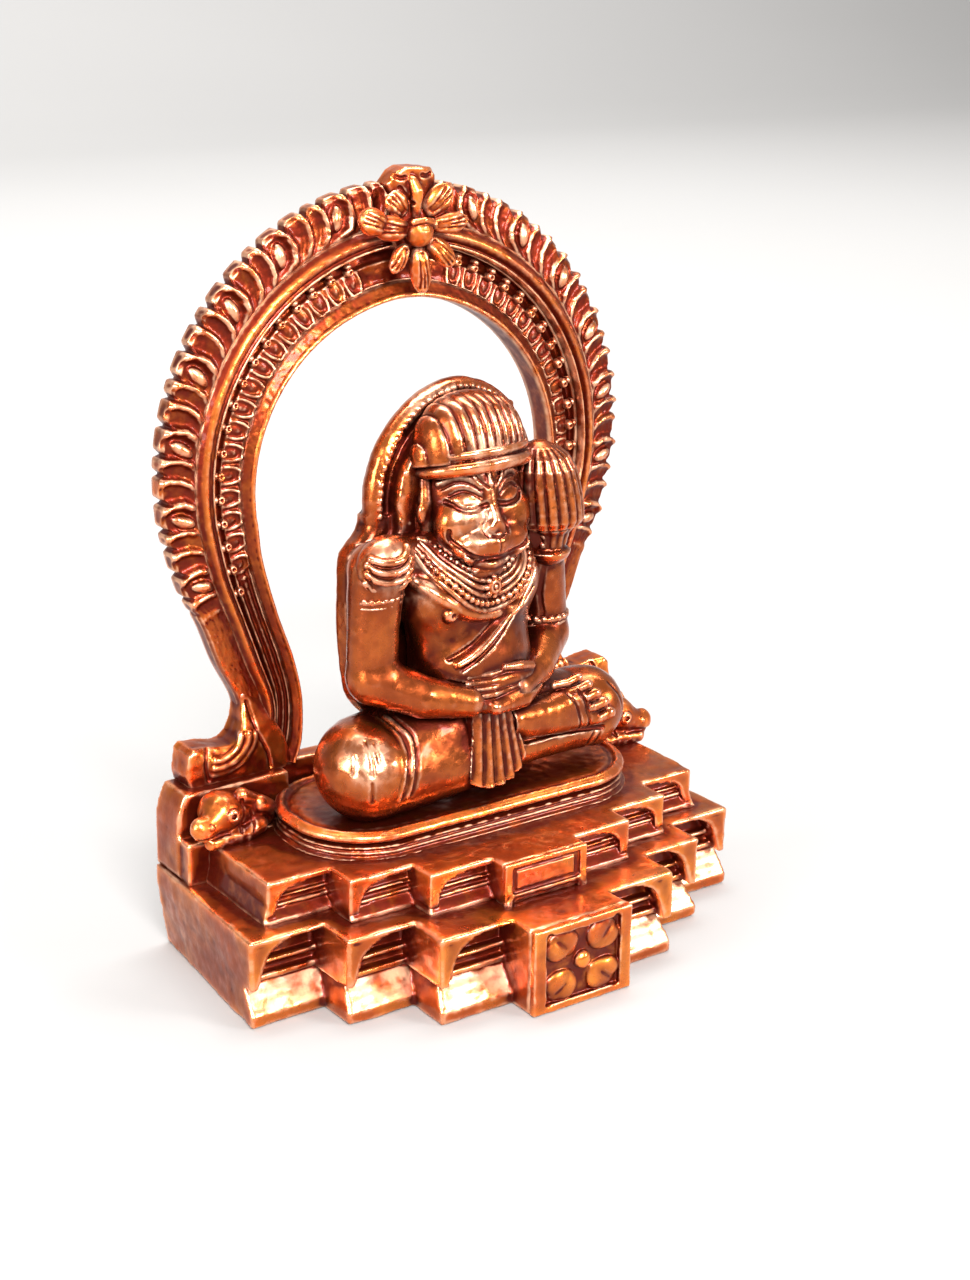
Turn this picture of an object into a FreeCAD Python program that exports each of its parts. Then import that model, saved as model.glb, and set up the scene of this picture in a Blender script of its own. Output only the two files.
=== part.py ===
import FreeCAD, Part
import math
import os

import Sketcher
from FreeCAD import Placement, Rotation, Vector

# A small cast metal shrine figure: a stepped pedestal in two courses, a rear block that carries a
# horseshoe halo arch, and a seated monkey-faced figure with a mace on an oval plinth.
# Millimetres, +Z up, the front faces -Y, the origin is under the middle of the pedestal.

os.makedirs("parts", exist_ok=True)
doc = FreeCAD.newDocument("seated_deity_statue")
sheet = doc.addObject("Spreadsheet::Sheet", "dims")

DIMENSIONS = {
    # pedestal in plan: the half widths and fronts of the stepped facets, outermost first
    "rear_y": 28.9,
    "low_half_a": 50.0,
    "low_half_b": 36.5,
    "low_half_c": 23.9,
    "low_half_d": 10.0,
    "low_front_a": 6.9,
    "low_front_b": 14.6,
    "low_front_c": 22.7,
    "low_front_d": 27.7,
    "upp_half_a": 44.3,
    "upp_half_b": 32.7,
    "upp_half_c": 20.7,
    "upp_half_d": 8.4,
    "upp_front_a": 2.8,
    "upp_front_b": 9.3,
    "upp_front_c": 14.5,
    "upp_front_d": 17.6,
    # pedestal heights
    "low_top": 15.4,
    "upp_top": 22.8,
    "slab_thick": 0.9,
    "foot_band": 2.6,
    "slope_band": 4.6,
    "low_niche": 3.0,
    "upp_niche": 1.6,
    "shelf_high": 0.8,
    # rosette block and framed panel
    "plaque_thick": 1.2,
    # rear block and rail
    "rear_half": 48.4,
    "rear_top": 30.4,
    "rear_front": 17.2,
    "rail_half": 27.0,
    "rail_front": 25.0,
    "tenon_wide": 5.0,
    "tenon_deep": 2.0,
    "tenon_long": 6.0,
    # oval plinth
    "plinth_half": 33.2,
    "plinth_front": 5.2,
    "plinth_rear": 24.2,
    "plinth_corner": 13.5,
    "plinth_split": 25.2,
    "plinth_top": 27.2,
    "stud_radius": 2.0,
    # halo arch
    "arch_thick": 3.5,
    "lip_raise": 2.0,
    "ridge_raise": 1.8,
    "flame_thick": 2.9,
    "scroll_thick": 6.4,
    # figure
    "figure_scale": 1.0,
    "figure_turn": 7.0,
    "back_thick": 4.0,
}
for row, (alias, value) in enumerate(DIMENSIONS.items(), start=1):
    sheet.set(f"A{row}", alias.replace("_", " "))
    sheet.set(f"B{row}", str(value))
    sheet.setAlias(f"B{row}", alias)
doc.recompute()


class Dim:
    """A sheet value together with the expression that gives it."""

    def __init__(self, value, text):
        self.value = value
        self.text = text

    def __add__(self, other):
        other = dim(other)
        return Dim(self.value + other.value, f"({self.text} + {other.text})")

    def __sub__(self, other):
        other = dim(other)
        return Dim(self.value - other.value, f"({self.text} - {other.text})")

    def __mul__(self, other):
        other = dim(other)
        return Dim(self.value * other.value, f"({self.text} * {other.text})")

    def __neg__(self):
        return Dim(-self.value, f"(0 - {self.text})")


def dim(source):
    """A Dim from a Dim, a plain number or the alias of a sheet cell."""
    if isinstance(source, Dim):
        return source
    if isinstance(source, str):
        return Dim(float(sheet.get(source)), f"dims.{source}")
    return Dim(float(source), repr(float(source)))


def bind(obj, prop, source):
    source = dim(source)
    obj.setExpression(prop, source.text)


nodes = {}


def keep(obj, label):
    """Marks an object as one finished sub-part of the assembly."""
    obj.Label = label
    nodes[label] = obj
    return obj


# ---------------------------------------------------------------- sketches and pads


def new_body(name):
    return doc.addObject("PartDesign::Body", name)


def plane(body, role):
    for feature in body.Origin.OriginFeatures:
        if feature.Role == role:
            return feature
    raise ValueError(role)


def new_sketch(body, name, role="XY_Plane", offset=0.0):
    sketch = body.newObject("Sketcher::SketchObject", name)
    sketch.AttachmentSupport = [(plane(body, role), "")]
    sketch.MapMode = "FlatFace"
    offset = dim(offset)
    sketch.AttachmentOffset = Placement(Vector(0, 0, offset.value), Rotation())
    sketch.setExpression("AttachmentOffset.Base.z", offset.text)
    return sketch


def polygon(sketch, points):
    """A closed outline of straight edges; every corner is held by two sheet-driven dimensions."""
    corners = [(dim(u), dim(v)) for u, v in points]
    first = sketch.GeometryCount
    count = len(corners)
    spots = [Vector(u.value, v.value, 0) for u, v in corners]
    for i in range(count):
        sketch.addGeometry(Part.LineSegment(spots[i], spots[(i + 1) % count]), False)
    for i in range(count):
        following = first + (i + 1) % count
        sketch.addConstraint(Sketcher.Constraint("Coincident", first + i, 2, following, 1))
    for i, (u, v) in enumerate(corners):
        for kind, size in (("DistanceX", u), ("DistanceY", v)):
            index = sketch.addConstraint(
                Sketcher.Constraint(kind, -1, 1, first + i, 1, size.value)
            )
            sketch.setExpression(f"Constraints[{index}]", size.text)


def rectangle(sketch, u0, v0, u1, v1):
    polygon(sketch, [(u0, v0), (u1, v0), (u1, v1), (u0, v1)])


def spline_loop(sketch, curves):
    """A closed outline of smooth stretches, each given by a few points of the shape."""
    for points in curves:
        spots = [Vector(u, v, 0) for u, v in points]
        if len(spots) == 2:
            sketch.addGeometry(Part.LineSegment(*spots), False)
        else:
            curve = Part.BSplineCurve()
            curve.interpolate(spots)
            sketch.addGeometry(curve, False)


def pad(body, sketch, length, reverse=False):
    feature = body.newObject("PartDesign::Pad", sketch.Name + "_pad")
    feature.Profile = sketch
    feature.Length = dim(length).value
    feature.Reversed = reverse
    bind(feature, "Length", length)
    return feature


def pocket(body, sketch, length, reverse=False):
    feature = body.newObject("PartDesign::Pocket", sketch.Name + "_pocket")
    feature.Profile = sketch
    feature.Length = dim(length).value
    feature.Reversed = reverse
    bind(feature, "Length", length)
    return feature


# ---------------------------------------------------------------- stepped courses


def stepped(prefix, inset, rear="rear_y"):
    """The stepped outline of one course, with every front facet set back by inset."""
    inset = dim(inset)
    sides = [dim(f"{prefix}_half_{c}") for c in "abcd"]
    fronts = [-dim(f"{prefix}_front_{c}") + inset for c in "abcd"]
    right = []
    for i, side in enumerate(sides):
        side = side if i == 0 else side - inset
        if i:
            right.append((side, fronts[i - 1]))
        right.append((side, fronts[i]))
    left = [(-u, v) for u, v in reversed(right)]
    back = dim(rear)
    return [(sides[0], back)] + right + left + [(-sides[0], back)]


def course(name, prefix, z0, z1, niche, band, slope, rear):
    """One pedestal course: a set-back core, a foot band, a sloped band, two shelf mouldings,
    corner brackets and a top slab."""
    z0, z1, niche = dim(z0), dim(z1), dim(niche)
    band, slope = dim(band), dim(slope)
    body = new_body(name)
    core = new_sketch(body, name + "_core", offset=z0)
    polygon(core, stepped(prefix, niche, rear))
    pad(body, core, z1 - z0)
    foot = new_sketch(body, name + "_foot", offset=z0)
    polygon(foot, stepped(prefix, 0, rear))
    pad(body, foot, band)
    low_ring = new_sketch(body, name + "_slope_low", offset=z0 + band)
    polygon(low_ring, stepped(prefix, 0, rear))
    high_ring = new_sketch(body, name + "_slope_high", offset=z0 + band + slope)
    polygon(high_ring, stepped(prefix, niche * 0.8, rear))
    loft = body.newObject("PartDesign::AdditiveLoft", name + "_slope")
    loft.Profile = low_ring
    loft.Sections = [high_ring]
    loft.Ruled = True
    for i in range(2):
        shelf_z = z0 + band + slope + 0.5 + dim("shelf_high") * (1.9 * i)
        shelf = new_sketch(body, f"{name}_shelf{i}", offset=shelf_z)
        polygon(shelf, stepped(prefix, niche * (0.45 + 0.25 * i), rear))
        pad(body, shelf, "shelf_high")
    top = new_sketch(body, name + "_slab", offset=z1 - dim("slab_thick"))
    polygon(top, stepped(prefix, 0, rear))
    pad(body, top, "slab_thick")
    # corner brackets: wide under the slab, drawn in to a point above the sloped band
    high = z1 - dim("slab_thick")
    low = z0 + band + slope
    for i, c in enumerate("abc"):
        side = dim(f"{prefix}_half_{c}")
        inner = dim(f"{prefix}_half_{'abcd'[i + 1]}")
        width = (side - inner) * 0.42
        front = dim(f"{prefix}_front_{c}")
        bracket = new_sketch(body, f"{name}_bracket_{c}", "XZ_Plane", offset=front)
        for sign in (1, -1):
            tip = (side - width * 0.25) * sign
            mid = (side - width * 0.5) * sign
            polygon(
                bracket,
                [
                    (side * sign, low),
                    (tip, low),
                    (mid, low + (high - low) * 0.45),
                    ((side - width) * sign, high - (high - low) * 0.15),
                    ((side - width) * sign, high),
                    (side * sign, high),
                ],
            )
        pad(body, bracket, niche + 0.3, reverse=True)
    return body


lower = course(
    "lower_course", "low", 0, "low_top", "low_niche", "foot_band", "slope_band", "rear_y"
)
upper = course(
    "upper_course",
    "upp",
    "low_top",
    "upp_top",
    "upp_niche",
    1.1,
    1.3,
    "rear_front",
)
hole = new_sketch(upper, "upper_stud_hole", offset="upp_top")
hole.addGeometry(Part.Circle(Vector(0.7, 9.0, 0), Vector(0, 0, 1), 2.0), False)
hole.addConstraint(Sketcher.Constraint("Radius", 0, 2.0))
hole.setExpression("Constraints[0]", "dims.stud_radius")
pocket(upper, hole, 5.0)
keep(lower, "lower_course")
keep(upper, "upper_course")

# ---------------------------------------------------------------- rear block with the arch sockets

rear = new_body("rear_block")
plan = new_sketch(rear, "rear_plan", offset="low_top")
side, mid = dim("rear_half"), dim("rail_half")
face, rail, back = dim("rear_front"), dim("rail_front"), dim("rear_y")
polygon(plan, [(-side, back), (side, back), (side, face), (-side, face)])
pad(rear, plan, dim("upp_top") - dim("low_top"))
towers = new_sketch(rear, "rear_towers", offset="upp_top")
polygon(
    towers,
    [
        (-side, back),
        (side, back),
        (side, face + 3.4),
        (mid, face + 3.4),
        (mid, rail),
        (-mid, rail),
        (-mid, face + 3.4),
        (-side, face + 3.4),
    ],
)
pad(rear, towers, dim("rear_top") - dim("upp_top"))
TENON_X = 28.0
sockets = new_sketch(rear, "rear_sockets", offset="rear_top")
half_tenon = dim("tenon_wide") * 0.5
tenon_y = dim("rear_y") - 2.8
for sign in (-1, 1):
    rectangle(
        sockets,
        dim(sign * TENON_X) - half_tenon,
        tenon_y,
        dim(sign * TENON_X) + half_tenon,
        tenon_y + "tenon_deep",
    )
pocket(rear, sockets, "tenon_long")
keep(rear, "rear_block")

# ---------------------------------------------------------------- plaques on the two courses

rosette = new_body("rosette_plaque")
front = dim("low_front_d")
frame = new_sketch(rosette, "rosette_frame", "XZ_Plane", offset=front + "plaque_thick")
half, low, high = dim("low_half_d"), dim(0), dim("low_top")
rectangle(frame, -half, low, half, high)
rectangle(frame, -half + 1.7, low + 1.7, half - 1.7, high - 1.7)
pad(rosette, frame, "plaque_thick", reverse=True)
ground = new_sketch(rosette, "rosette_ground", "XZ_Plane", offset=front + 0.4)
rectangle(ground, -half + 1.5, low + 1.5, half - 1.5, high - 1.5)
pad(rosette, ground, 0.4, reverse=True)
petals = new_sketch(rosette, "rosette_petals", "XZ_Plane", offset=front + "plaque_thick")
mid_z = dim("low_top").value / 2
for du in (-1, 1):
    for dv in (-1, 1):
        centre = Vector(du * 3.5, mid_z + dv * 2.7, 0)
        # the long axis lies along the diagonal; an ellipse takes its two axis points and centre
        tip = centre + Vector(du * 2.6, dv * 2.0, 0)
        flank = centre + Vector(-dv * 1.15, du * 1.5, 0)
        petals.addGeometry(Part.Ellipse(tip, flank, centre), False)
pad(rosette, petals, dim("plaque_thick") - 0.2, reverse=True)
bead = new_sketch(rosette, "rosette_bead", "XZ_Plane", offset=front + "plaque_thick" + 0.3)
bead.addGeometry(Part.Circle(Vector(0, mid_z, 0), Vector(0, 0, 1), 1.2), False)
pad(rosette, bead, dim("plaque_thick") + 0.3, reverse=True)
keep(rosette, "rosette_plaque")

panel = new_body("framed_panel")
front = dim("upp_front_d")
outline = new_sketch(panel, "panel_frame", "XZ_Plane", offset=front + 0.7)
half, low, high = dim("upp_half_d"), dim("low_top"), dim("upp_top")
polygon(
    outline,
    [
        (-half, high),
        (half, high),
        (half - 0.5, high - 1.5),
        (half - 0.5, low + 1.8),
        (half, low),
        (half - 2.6, low),
        (half - 1.9, low + 1.8),
        (-half + 1.9, low + 1.8),
        (-half + 2.6, low),
        (-half, low),
        (-half + 0.5, low + 1.8),
        (-half + 0.5, high - 1.5),
    ],
)
rectangle(outline, -half + 2.2, low + 2.6, half - 2.2, high - 1.7)
pad(panel, outline, 0.7, reverse=True)
keep(panel, "framed_panel")

# ---------------------------------------------------------------- oval plinth


def oval(sketch, grow):
    """The plinth outline: a rectangle with very round corners, grown or shrunk by grow."""
    grow = dim(grow)
    half = dim("plinth_half") + grow
    y0 = -dim("plinth_front") - grow
    y1 = dim("plinth_rear") + grow
    radius = dim("plinth_corner") + grow
    h, a, b, r = half.value, y0.value, y1.value, radius.value
    k = r * (1 - math.sqrt(0.5))
    corners = [
        ((-h + r, a), (h - r, a), (h - k, a + k), (h, a + r)),
        ((h, a + r), (h, b - r), (h - k, b - k), (h - r, b)),
        ((h - r, b), (-h + r, b), (-h + k, b - k), (-h, b - r)),
        ((-h, b - r), (-h, a + r), (-h + k, a + k), (-h + r, a)),
    ]
    for start, line_end, arc_mid, arc_end in corners:
        spots = [Vector(u, v, 0) for u, v in (start, line_end, arc_mid, arc_end)]
        sketch.addGeometry(Part.LineSegment(spots[0], spots[1]), False)
        sketch.addGeometry(Part.Arc(spots[1], spots[2], spots[3]), False)


def plinth(name, layers, z0, z1):
    """A stack of oval layers: each is (share of the height, outward growth)."""
    body = new_body(name)
    z0, z1 = dim(z0), dim(z1)
    height = z1 - z0
    at = 0.0
    for i, (share, grow) in enumerate(layers):
        layer = new_sketch(body, f"{name}_layer{i}", offset=z0 + height * at)
        oval(layer, grow)
        pad(body, layer, height * share)
        at += share
    drill = new_sketch(body, name + "_stud_hole", offset=z1)
    drill.addGeometry(Part.Circle(Vector(0.7, 9.0, 0), Vector(0, 0, 1), 2.0), False)
    drill.addConstraint(Sketcher.Constraint("Radius", 0, 2.0))
    drill.setExpression("Constraints[0]", "dims.stud_radius")
    pocket(body, drill, height)
    return keep(body, name)


plinth("plinth_base", [(0.3, 0.6), (0.15, 0.0), (0.25, 0.4), (0.3, -0.5)], "upp_top", "plinth_split")
plinth("plinth_top", [(0.4, 0.2), (0.2, -0.1), (0.4, 0.1)], "plinth_split", "plinth_top")

# ---------------------------------------------------------------- halo arch

# Half of the arch in the XZ plane, from the crown down to the leg: pairs of inner and outer points.
# Above the springing both edges are circles; below it the legs draw in.
ARCH_CENTRE_IN, ARCH_RADIUS_IN = 79.3, 30.3
ARCH_CENTRE_OUT, ARCH_RADIUS_OUT = 82.0, 46.2
ARCH_LEG = [
    ((29.1, 67.5), (42.9, 64.5)),
    ((26.5, 58.0), (39.6, 57.0)),
    ((23.6, 49.5), (37.0, 50.0)),
    ((22.1, 42.0), (33.6, 43.0)),
    ((22.3, 34.5), (33.8, 38.5)),
    ((23.6, 30.4), (36.0, 30.4)),
]


def arch_pairs():
    pairs = []
    for degrees in (90, 70, 50, 30, 10, -10):
        c, s = math.cos(math.radians(degrees)), math.sin(math.radians(degrees))
        inner = (ARCH_RADIUS_IN * c, ARCH_CENTRE_IN + ARCH_RADIUS_IN * s)
        outer = (ARCH_RADIUS_OUT * c, ARCH_CENTRE_OUT + ARCH_RADIUS_OUT * s)
        pairs.append((inner, outer))
    pairs[0] = ((0.0, pairs[0][0][1] - 0.6), pairs[0][1])
    return pairs + ARCH_LEG


def arch_curve(share, last=None):
    """Points of the line that lies at a share of the way from the inner to the outer edge."""
    points = []
    for (ui, vi), (uo, vo) in arch_pairs()[:last]:
        points.append((ui + share * (uo - ui), vi + share * (vo - vi)))
    return points


def mirrored(points):
    return [(-u, v) for u, v in points]


def horseshoe(sketch, inner, outer, last=None):
    """The closed band between two shares of the arch width."""
    a, b = arch_curve(inner, last), arch_curve(outer, last)
    left_a, left_b = mirrored(a), mirrored(b)
    spline_loop(
        sketch,
        [
            left_a[:0:-1] + [a[0]] + a[1:],
            [a[-1], b[-1]],
            b[:0:-1] + [b[0]] + left_b[1:],
            [left_b[-1], left_a[-1]],
        ],
    )


LIP, RIDGE_IN, RIDGE_OUT, FLAME_ROOT = 0.09, 0.46, 0.60, 0.72
arch_back = -dim("rear_y")

arch = new_body("arch_frame")
plate = new_sketch(arch, "arch_plate", "XZ_Plane", offset=arch_back)
horseshoe(plate, 0.0, FLAME_ROOT)
pad(arch, plate, "arch_thick")
tongues = new_sketch(arch, "arch_tenons", offset=dim("rear_top") - dim("tenon_long") + 0.2)
for sign in (-1, 1):
    rectangle(
        tongues,
        dim(sign * TENON_X) - half_tenon + 0.1,
        tenon_y + 0.1,
        dim(sign * TENON_X) + half_tenon - 0.1,
        tenon_y + "tenon_deep" - 0.1,
    )
pad(arch, tongues, "tenon_long")
keep(arch, "arch_frame")


def strip(name, inner, outer, thick):
    """A raised band on the front of the arch plate."""
    body = new_body(name)
    band = new_sketch(body, name + "_band", "XZ_Plane", offset=arch_back + "arch_thick")
    horseshoe(band, inner, outer, last=-1)
    pad(body, band, thick)
    return keep(body, name)


strip("arch_inner_lip", 0.0, LIP, "lip_raise")
strip("arch_ridge", RIDGE_IN, RIDGE_OUT, "ridge_raise")


def along(share, degrees):
    """A point of the arch at a polar angle, and the outward direction there."""
    c, s = math.cos(math.radians(degrees)), math.sin(math.radians(degrees))
    radius = ARCH_RADIUS_IN + share * (ARCH_RADIUS_OUT - ARCH_RADIUS_IN)
    centre = ARCH_CENTRE_IN + share * (ARCH_CENTRE_OUT - ARCH_CENTRE_IN)
    return Vector(radius * c, 0, centre + radius * s), Vector(c, 0, s)


def fuse(name, parts):
    if len(parts) == 1:
        return parts[0]
    joined = doc.addObject("Part::MultiFuse", name)
    joined.Shapes = parts
    return joined


def compound(name, parts):
    group = doc.addObject("Part::Compound", name)
    group.Links = parts
    return group


def fitted(label, base, neighbours):
    """base less the finished pieces it meets, so that neighbours touch and never overlap."""
    tools = [nodes[n] for n in neighbours.split()]
    result = doc.addObject("Part::Cut", label + "_cut")
    result.Base = base
    result.Tool = tools[0] if len(tools) == 1 else compound(label + "_tools", tools)
    return keep(result, label)


BEAD_ANGLES = [90 + sign * (18.4 + 6.4 * i) for sign in (-1, 1) for i in range(17)]
beads = []
for i, degrees in enumerate(BEAD_ANGLES):
    spot, _ = along(0.36, degrees)
    stop = doc.addObject("Part::Sphere", f"arch_bead_{i}")
    stop.Radius = 1.0
    bind(stop, "Radius", dim("ridge_raise") * 0.55)
    stop.Angle1 = 0
    stop.Angle2 = 90
    stop.Placement = Placement(
        Vector(spot.x, (dim("rear_y") - "arch_thick").value, spot.z),
        Rotation(Vector(1, 0, 0), 90),
    )
    beads.append(stop)
keep(compound("arch_beads", beads), "arch_beads")

# flame border: a root band with one curled leaf after another round its outer edge
LEAF_STEP = 7.6
LEAF_COUNT = 16
flames = new_body("flame_border")
root = new_sketch(flames, "flame_root", "XZ_Plane", offset=arch_back)
horseshoe(root, FLAME_ROOT, 0.86, last=-4)
pad(flames, root, "flame_thick")
leaves = []
for sign in (-1, 1):
    for i in range(LEAF_COUNT):
        degrees = 90 + sign * (8 + LEAF_STEP * i)
        spot, out = along(0.87, degrees)
        leaf = doc.addObject("Part::Cylinder", f"flame_leaf_{'lr'[sign > 0]}{i}")
        leaf.Radius = 2.9
        leaf.Height = 2.4
        bind(leaf, "Height", dim("flame_thick") - 0.5)
        leaf.Placement = Placement(
            Vector(spot.x, dim("rear_y").value, spot.z),
            Rotation(Vector(1, 0, 0), 90),
        )
        leaves.append(leaf)
fitted("flame_border", fuse("flame_leaves", [flames] + leaves), "arch_frame")

# feet of the arch: a scroll that sweeps out from each leg to a plain end block
for side_name, sign in (("left", -1), ("right", 1)):
    body = new_body(f"arch_scroll_{side_name}")
    base_y = arch_back
    shape = new_sketch(body, f"scroll_{side_name}", "XZ_Plane", offset=base_y)
    leg = [(u * sign, v) for u, v in arch_curve(FLAME_ROOT)[-3:]]
    spline_loop(
        shape,
        [
            leg,
            [leg[-1], (44.6 * sign, 30.4)],
            [(44.6 * sign, 30.4), (44.8 * sign, 36.4)],
            [(44.8 * sign, 36.4), (42.6 * sign, 37.1)],
            [(42.6 * sign, 37.1), (37.2 * sign, 36.2), (34.4 * sign, 38.6), leg[0]],
        ],
    )
    pad(body, shape, "scroll_thick")
    keep(body, f"arch_scroll_{side_name}")

SCALE = dim("figure_scale")
FIGURE = Placement(Vector(0.7, 9.0, 0), Rotation(Vector(0, 0, 1), dim("figure_turn").value))


def limb(name, start, end, r0, r1, frame=FIGURE, size=SCALE):
    """A tapered round limb with a ball at each end, in the figure's own frame unless told otherwise."""
    a, b = Vector(*start), Vector(*end)
    shaft = doc.addObject("Part::Cone", name + "_shaft")
    shaft.Radius1, shaft.Radius2, shaft.Height = r0, r1, (b - a).Length
    bind(shaft, "Radius1", size * r0)
    bind(shaft, "Radius2", size * r1)
    shaft.Placement = frame * Placement(a, Rotation(Vector(0, 0, 1), b - a))
    parts = [shaft]
    for end_name, spot, radius in (("start", a, r0), ("end", b, r1)):
        joint = doc.addObject("Part::Sphere", f"{name}_{end_name}")
        joint.Radius = radius
        bind(joint, "Radius", size * radius)
        joint.Placement = frame * Placement(spot, Rotation())
        parts.append(joint)
    return parts


WORLD = Placement()
ORNAMENT = dim("lip_raise") * 0.5

# flower at the crown: seven petals round a bud; a flared knob takes the place of the eighth
BOSS_Z = 120.7
BOSS_Y = 21.9
petals = []
for i in range(1, 8):
    reach = 8.4 if i == 4 else 6.8
    turn = math.radians(90 - 45 * i)
    out = Vector(math.cos(turn), 0, math.sin(turn))
    petal = doc.addObject("Part::Cone", f"boss_petal_{i}")
    petal.Radius1, petal.Radius2, petal.Height = 0.9, 1.6, reach - 2.8
    bind(petal, "Radius1", ORNAMENT * 0.9)
    bind(petal, "Radius2", ORNAMENT * 1.6)
    petal.Placement = Placement(
        Vector(0, BOSS_Y, BOSS_Z) + out * 2.8, Rotation(Vector(0, 0, 1), out)
    )
    petals.append(petal)
keep(compound("boss_petals", petals), "boss_petals")

bud = doc.addObject("Part::Sphere", "boss_bud_raw")
bud.Radius = 2.7
bind(bud, "Radius", ORNAMENT * 2.7)
bud.Placement = Placement(Vector(0, BOSS_Y - 0.3, BOSS_Z), Rotation())
fitted("boss_bud", bud, "arch_ridge")

knob = new_body("crown_knob_raw")
knob_shape = new_sketch(knob, "knob_shape", "XZ_Plane", offset=-dim("rear_y") + "flame_thick")
polygon(
    knob_shape,
    [(-1.6, 123.0), (1.6, 123.0), (4.7, 128.6), (3.6, 131.3), (-3.6, 131.3), (-4.7, 128.6)],
)
pad(knob, knob_shape, dim("flame_thick") * 1.1)
fitted("crown_knob", knob, "boss_petals boss_bud")

# crouching sea creature in relief on each rear corner
for side_name, sign in (("left", -1), ("right", 1)):
    parts = limb(
        f"creature_body_{side_name}",
        (sign * 35.0, 18.6, 25.2),
        (sign * 42.6, 17.8, 26.2),
        2.6,
        3.4,
        WORLD,
        ORNAMENT,
    )
    parts += limb(
        f"creature_snout_{side_name}",
        (sign * 42.6, 17.2, 26.6),
        (sign * 46.2, 15.8, 25.4),
        2.9,
        1.8,
        WORLD,
        ORNAMENT,
    )
    fitted(
        f"corner_creature_{side_name}",
        fuse(f"creature_{side_name}_raw", parts),
        "rear_block upper_course plinth_base",
    )

# ---------------------------------------------------------------- figure

def local(point):
    """A point of the figure's own frame (+x its left, -y its front) as a vector."""
    return Vector(*point)


def ball(name, centre, radii, tilt=None):
    """An ellipsoid with radii (x, y, z); tilt is a rotation of its own."""
    shape = doc.addObject("Part::Ellipsoid", name)
    rx, ry, rz = radii
    for prop, size in (("Radius1", rz), ("Radius2", rx), ("Radius3", ry)):
        setattr(shape, prop, size)
        bind(shape, prop, SCALE * size)
    shape.Placement = FIGURE * Placement(local(centre), tilt or Rotation())
    return shape


def ring(name, centre, radius, tube, tilt):
    shape = doc.addObject("Part::Torus", name)
    shape.Radius1, shape.Radius2 = radius, tube
    bind(shape, "Radius1", SCALE * radius)
    bind(shape, "Radius2", SCALE * tube)
    shape.Placement = FIGURE * Placement(local(centre), Rotation(Vector(1, 0, 0), tilt))
    return shape


def in_figure(body):
    body.Placement = FIGURE
    return body


# locating stud from the pedestal through the plinth into the figure
stud = doc.addObject("Part::Cylinder", "stud_raw")
stud.Radius = 1.9
stud.Height = 14.0
bind(stud, "Radius", dim("stud_radius") - 0.1)
stud.Placement = Placement(Vector(0.7, 9.0, dim("upp_top").value - 5.0), Rotation())
stud.setExpression("Placement.Base.z", "dims.upp_top - 5")
keep(stud, "locating_stud")

hood = new_body("back_plate")
hood_shape = new_sketch(hood, "back_plate_shape", "XZ_Plane", offset=-6.0)
half_hood = [(0, 98.0), (7.8, 95.8), (13.9, 90.6), (17.3, 84.0), (18.1, 75.5)]
side_hood = [(18.1, 75.5), (21.4, 71.6), (22.2, 60.0), (21.4, 47.0)]
spline_loop(
    hood_shape,
    [
        mirrored(half_hood)[::-1],
        half_hood,
        side_hood,
        [(21.4, 47.0), (-21.4, 47.0)],
        mirrored(side_hood)[::-1],
    ],
)
pad(hood, hood_shape, "back_thick")
keep(in_figure(hood), "back_plate")

torso = [
    ball("chest", (-1.2, -3.2, 63.0), (14.6, 7.4, 11.5)),
    ball("belly", (-1.2, -3.6, 52.0), (12.4, 7.6, 10.5)),
]
fitted("torso", fuse("torso_raw", torso), "back_plate")

right_leg = limb("right_thigh", (-8.0, 1.0, 36.5), (-21.9, -1.0, 35.2), 8.2, 8.2)
right_leg += limb("right_shin", (-19.0, -4.4, 34.0), (3.0, -8.0, 33.6), 6.6, 5.2)
fitted("right_leg", fuse("right_leg_raw", right_leg), "plinth_top torso locating_stud")
left_leg = limb("left_thigh", (8.0, 1.0, 36.5), (26.0, -4.6, 35.4), 8.2, 6.6)
left_leg += limb("left_shin", (25.0, -6.4, 33.6), (6.0, -6.0, 32.8), 5.0, 4.4)
fitted("left_leg", fuse("left_leg_raw", left_leg), "plinth_top torso right_leg locating_stud")
foot = limb("instep", (7.0, -10.0, 38.6), (19.0, -10.6, 40.2), 3.4, 3.0)
foot += limb("toes", (19.4, -10.4, 41.4), (23.2, -10.8, 37.0), 2.6, 2.4)
fitted("right_foot", fuse("right_foot_raw", foot), "left_leg right_leg")

LEAN = -2.2
for label, sign in (("right_arm", -1), ("left_arm", 1)):
    shoulder = (LEAN + sign * 17.6, -1.8, 69.0)
    elbow = (LEAN + sign * 19.2, -2.4, 52.0)
    wrist = (LEAN + sign * 5.6, -10.4, 47.2)
    arm = limb(label + "_upper", shoulder, elbow, 4.6, 4.2)
    arm += limb(label + "_fore", elbow, wrist, 4.2, 2.8)
    fitted(label, fuse(label + "_raw", arm), "torso back_plate")
hands = [
    ball("hand_lower", (-0.4, -11.2, 45.6), (8.0, 2.9, 2.3)),
    ball("hand_upper", (-0.6, -10.9, 48.6), (7.2, 2.6, 2.0)),
]
fitted("hands", fuse("hands_raw", hands), "right_arm left_arm torso")

PLEATS = 5
figure_scale = DIMENSIONS["figure_scale"]


def pleat_section(name, centre, z, half, ridge_y, valley_y, back_y):
    """A zigzag cross-section of the pleated cloth, at the height z."""
    steps = 2 * PLEATS
    front = [
        (centre - half + 2 * half * i / steps, ridge_y if i % 2 else valley_y)
        for i in range(steps + 1)
    ]
    back = [(centre + half, back_y), (centre - half, back_y)]
    section = doc.addObject("Part::Polygon", name)
    section.Nodes = [Vector(x, y, z) * figure_scale for x, y in front + back]
    section.Close = True
    section.Placement = FIGURE
    return section


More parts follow.
